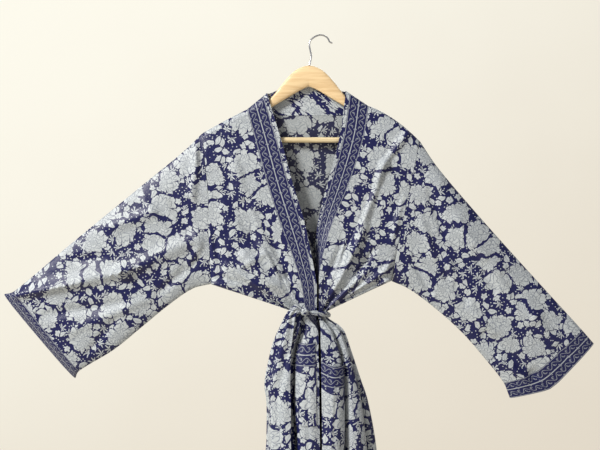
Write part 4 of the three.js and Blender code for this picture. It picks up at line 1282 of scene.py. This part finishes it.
# %% Hanger shapes
HANGER_X, HANGER_DEPTH, TIP, BAR_Z, BAR_HALF, BAR_RADIUS, WIRE = -22, 11, 206, -208, 186.3, 5.5, 1.7
EDGES = Table(
    "x top low",
    (0, -59, -101),
    (14, -62, -107),
    (30, -71, -116),
    (50, -92, -128),
    (76, -124, -143.5),
    (104, -146, -159.5),
    (138, -161, -178),
    (160, -170, -188),
    (184, -181, -199),
    (188, -183.5, -214),
    (192, -186.5, -219),
    (198, -192, -220),
    (204, -200, -215),
    (206, -206, -209),
)
HOOK = [  # x and z of the wire's middle, from the wood to the tip
    *[(-21.4, -60), (-18.4, -46), (-17.6, -38), (-19.4, -29.4), (-21.2, -18.8), (-19.4, -9.4)],
    *[(-11.4, -2.2), (-3.6, 1.2), (1.2, 1.9), (7.8, 0.6), (14.6, -3.6), (17.4, -8)],
    *[(19.4, -12), (25, -14.6)],
]


def board_points(x, turn):
    """Oval section, each axis a cosine or sine raised to 0.75, between the board's two edges."""
    top, low = EDGES.at(np.abs(x), "top"), EDGES.at(np.abs(x), "low")
    shut = closing(TIP + 0.5 - np.abs(x), 7)
    c, s = np.cos(turn), np.sin(turn)
    y = -shut * HANGER_DEPTH / 2 * np.sign(c) * np.abs(c) ** 0.75
    z = (top + low) / 2 + shut * (top - low) / 2 * np.sign(s) * np.abs(s) ** 0.75
    return vectors(x + HANGER_X, y, z)


def rod_points(path, radius, turn):
    """Round section of a radius that varies along a line in the plane y = 0."""
    tangent = unit(np.gradient(path, axis=0))
    side = np.stack([-tangent[:, 1], tangent[:, 0]], -1)[:, None]
    reach = radius[:, None] * np.sin(turn)
    flat = path[:, None] + side * reach[..., None]
    return vectors(flat[..., 0], -radius[:, None] * np.cos(turn), flat[..., 1])


def hanger_piece(name, node, points, material, slot):
    """Rounded piece in the place of a hanger's node. Its UV map is the view from the front."""
    uv = np.stack([points[..., 0], points[..., 2]], -1)
    dress(closed_tube(name, points, uv, [material], ends=True), node, slot)


board = board_points(*grid(np.linspace(-TIP, TIP, 331), round_turn(40)))
hanger_piece("hanger_board", "hanger_body", board, WOOD, "wood")
x = np.linspace(-BAR_HALF, BAR_HALF, 241)
bar_path = np.stack([x + HANGER_X, np.full_like(x, BAR_Z)], -1)
round_ends = BAR_RADIUS * closing(BAR_HALF + 0.2 - np.abs(x), 2.5)
bar = rod_points(bar_path, round_ends, round_turn(32)[None])
hanger_piece("hanger_rod", "hanger_bar", bar, BAR_WOOD, "wood")
hook_table = Table("t x z", *[(i, *point) for i, point in enumerate(HOOK)])
t = np.linspace(0, len(HOOK) - 1, 240)
hook_path = np.stack([hook_table.at(t, "x"), hook_table.at(t, "z")], -1)
from_end = arc(hook_path[None], 1)[0]
from_end = np.minimum(from_end, from_end[-1] - from_end)
hook = rod_points(hook_path, WIRE * closing(from_end + 0.1, WIRE), round_turn(20)[None])
hanger_piece("hanger_wire", "hanger_hook", hook, STEEL, "steel")

# %% [markdown]

# %% [markdown]
# ## Wall, floor and light
# The room is plain and pale. The wall stands far behind, so that the other views can look at the
# back. Its colour is painted darker to the lower right, which is painted shade for the daylight
# falling off in the room, and the wall glows a little, which is painted light. A soft light comes
# from the upper left, two weak ones soften the shadows, and the sky fills in the rest.


# %% Stage and lights
def plane(name, corners, material):
    """Flat stage piece from its four corners, in metres."""
    mesh = bpy.data.meshes.new(name)
    mesh.from_pydata(corners, [], [(0, 1, 2, 3)])
    mesh.materials.append(material)
    made = bpy.data.objects.new(name, mesh)
    bpy.context.scene.collection.objects.link(made)


def painted(name, bright, dim, glow):
    """Matt paint darkened along a slanting line, which is painted shade for the room's light falling
    off to the lower right. Where a glow is given, the surface also emits this same colour, which is
    painted light, over a dark base colour."""
    material, start = new_material(name)
    place = start.node("TexCoord", {}, "Object")
    uneven = place.node("TexNoise", {"Vector": place, "Scale": 1.5, "Detail": 2.0})
    # painted shade: the colour darkens along this slant, towards the lower right
    shade_slant = place.part("X") * 0.085 - place.part("Z") * 0.15 + 0.46
    share = (shade_slant + 0.1 * (uneven - 0.5)).rise(0, 1)
    color = blend(bright, dim, share)
    # painted light: with a glow the surface emits its own colour, though it is no lamp
    glowing = {"Emission Color": color, "Emission Strength": glow, "Specular IOR Level": 0.1}
    finish_material(start, BASE_UNDER_PAINTED_GLOW if glow else color, 0.9, **glowing)
    return material


WALL_Y, FLOOR_Z, CEILING_Z, WIDE = 4.2, -2.15, 5, 9
# painted light and painted shade: the wall's colour at the upper left and, darker, at the lower right
WALL_PAINTED_LIGHT, WALL_PAINTED_SHADE = (0.89, 0.87, 0.77, 1), (0.68, 0.62, 0.52, 1)
# dark base colour under the painted glow
BASE_UNDER_PAINTED_GLOW = (0.12, 0.115, 0.105, 1)
foot = [(-WIDE, WALL_Y, FLOOR_Z), (WIDE, WALL_Y, FLOOR_Z)]
wall = [*foot, (WIDE, WALL_Y, CEILING_Z), (-WIDE, WALL_Y, CEILING_Z)]
plane("wall", wall, painted("wall_painted_light", WALL_PAINTED_LIGHT, WALL_PAINTED_SHADE, 1))
floor = [(-WIDE, -WIDE, FLOOR_Z), (WIDE, -WIDE, FLOOR_Z), *foot[::-1]]
# the floor takes the same painted shade, without the glow
plane("floor", floor, painted("floor_painted_shade", WALL_PAINTED_LIGHT, WALL_PAINTED_SHADE, 0))


def soft_light(name, place, target, size, power, color):
    """Square area light that looks at a target."""
    data = bpy.data.lights.new(name, "AREA")
    data.size, data.energy, data.color = size, power, color
    made = bpy.data.objects.new(name, data)
    made.location = place
    aim = unit(np.array(target, float) - place)
    made.rotation_euler = (np.arccos(-aim[2]), 0, np.arctan2(aim[1], aim[0]) - np.pi / 2)
    bpy.context.scene.collection.objects.link(made)


soft_light("window", (-3.0, -2.4, 2.0), (-0.1, 0, -0.5), 1.1, 285, (1.0, 0.99, 0.96))
soft_light("room", (1.8, -2.6, -0.4), (0, 0, -0.6), 2.4, 9, (1.0, 0.97, 0.93))
soft_light("behind", (0.6, 3.2, 1.6), (0, 0, -0.6), 2.0, 40, (1.0, 0.98, 0.95))
world = bpy.data.worlds.new("room_light")
bpy.context.scene.world = world
world.use_nodes = True
SKY_COLOR, SKY_STRENGTH = (0.93, 0.95, 1.0, 1), 0.33
sky = world.node_tree.nodes["Background"].inputs
sky["Color"].default_value, sky["Strength"].default_value = SKY_COLOR, SKY_STRENGTH
bpy.context.scene.view_settings.view_transform = "Standard"
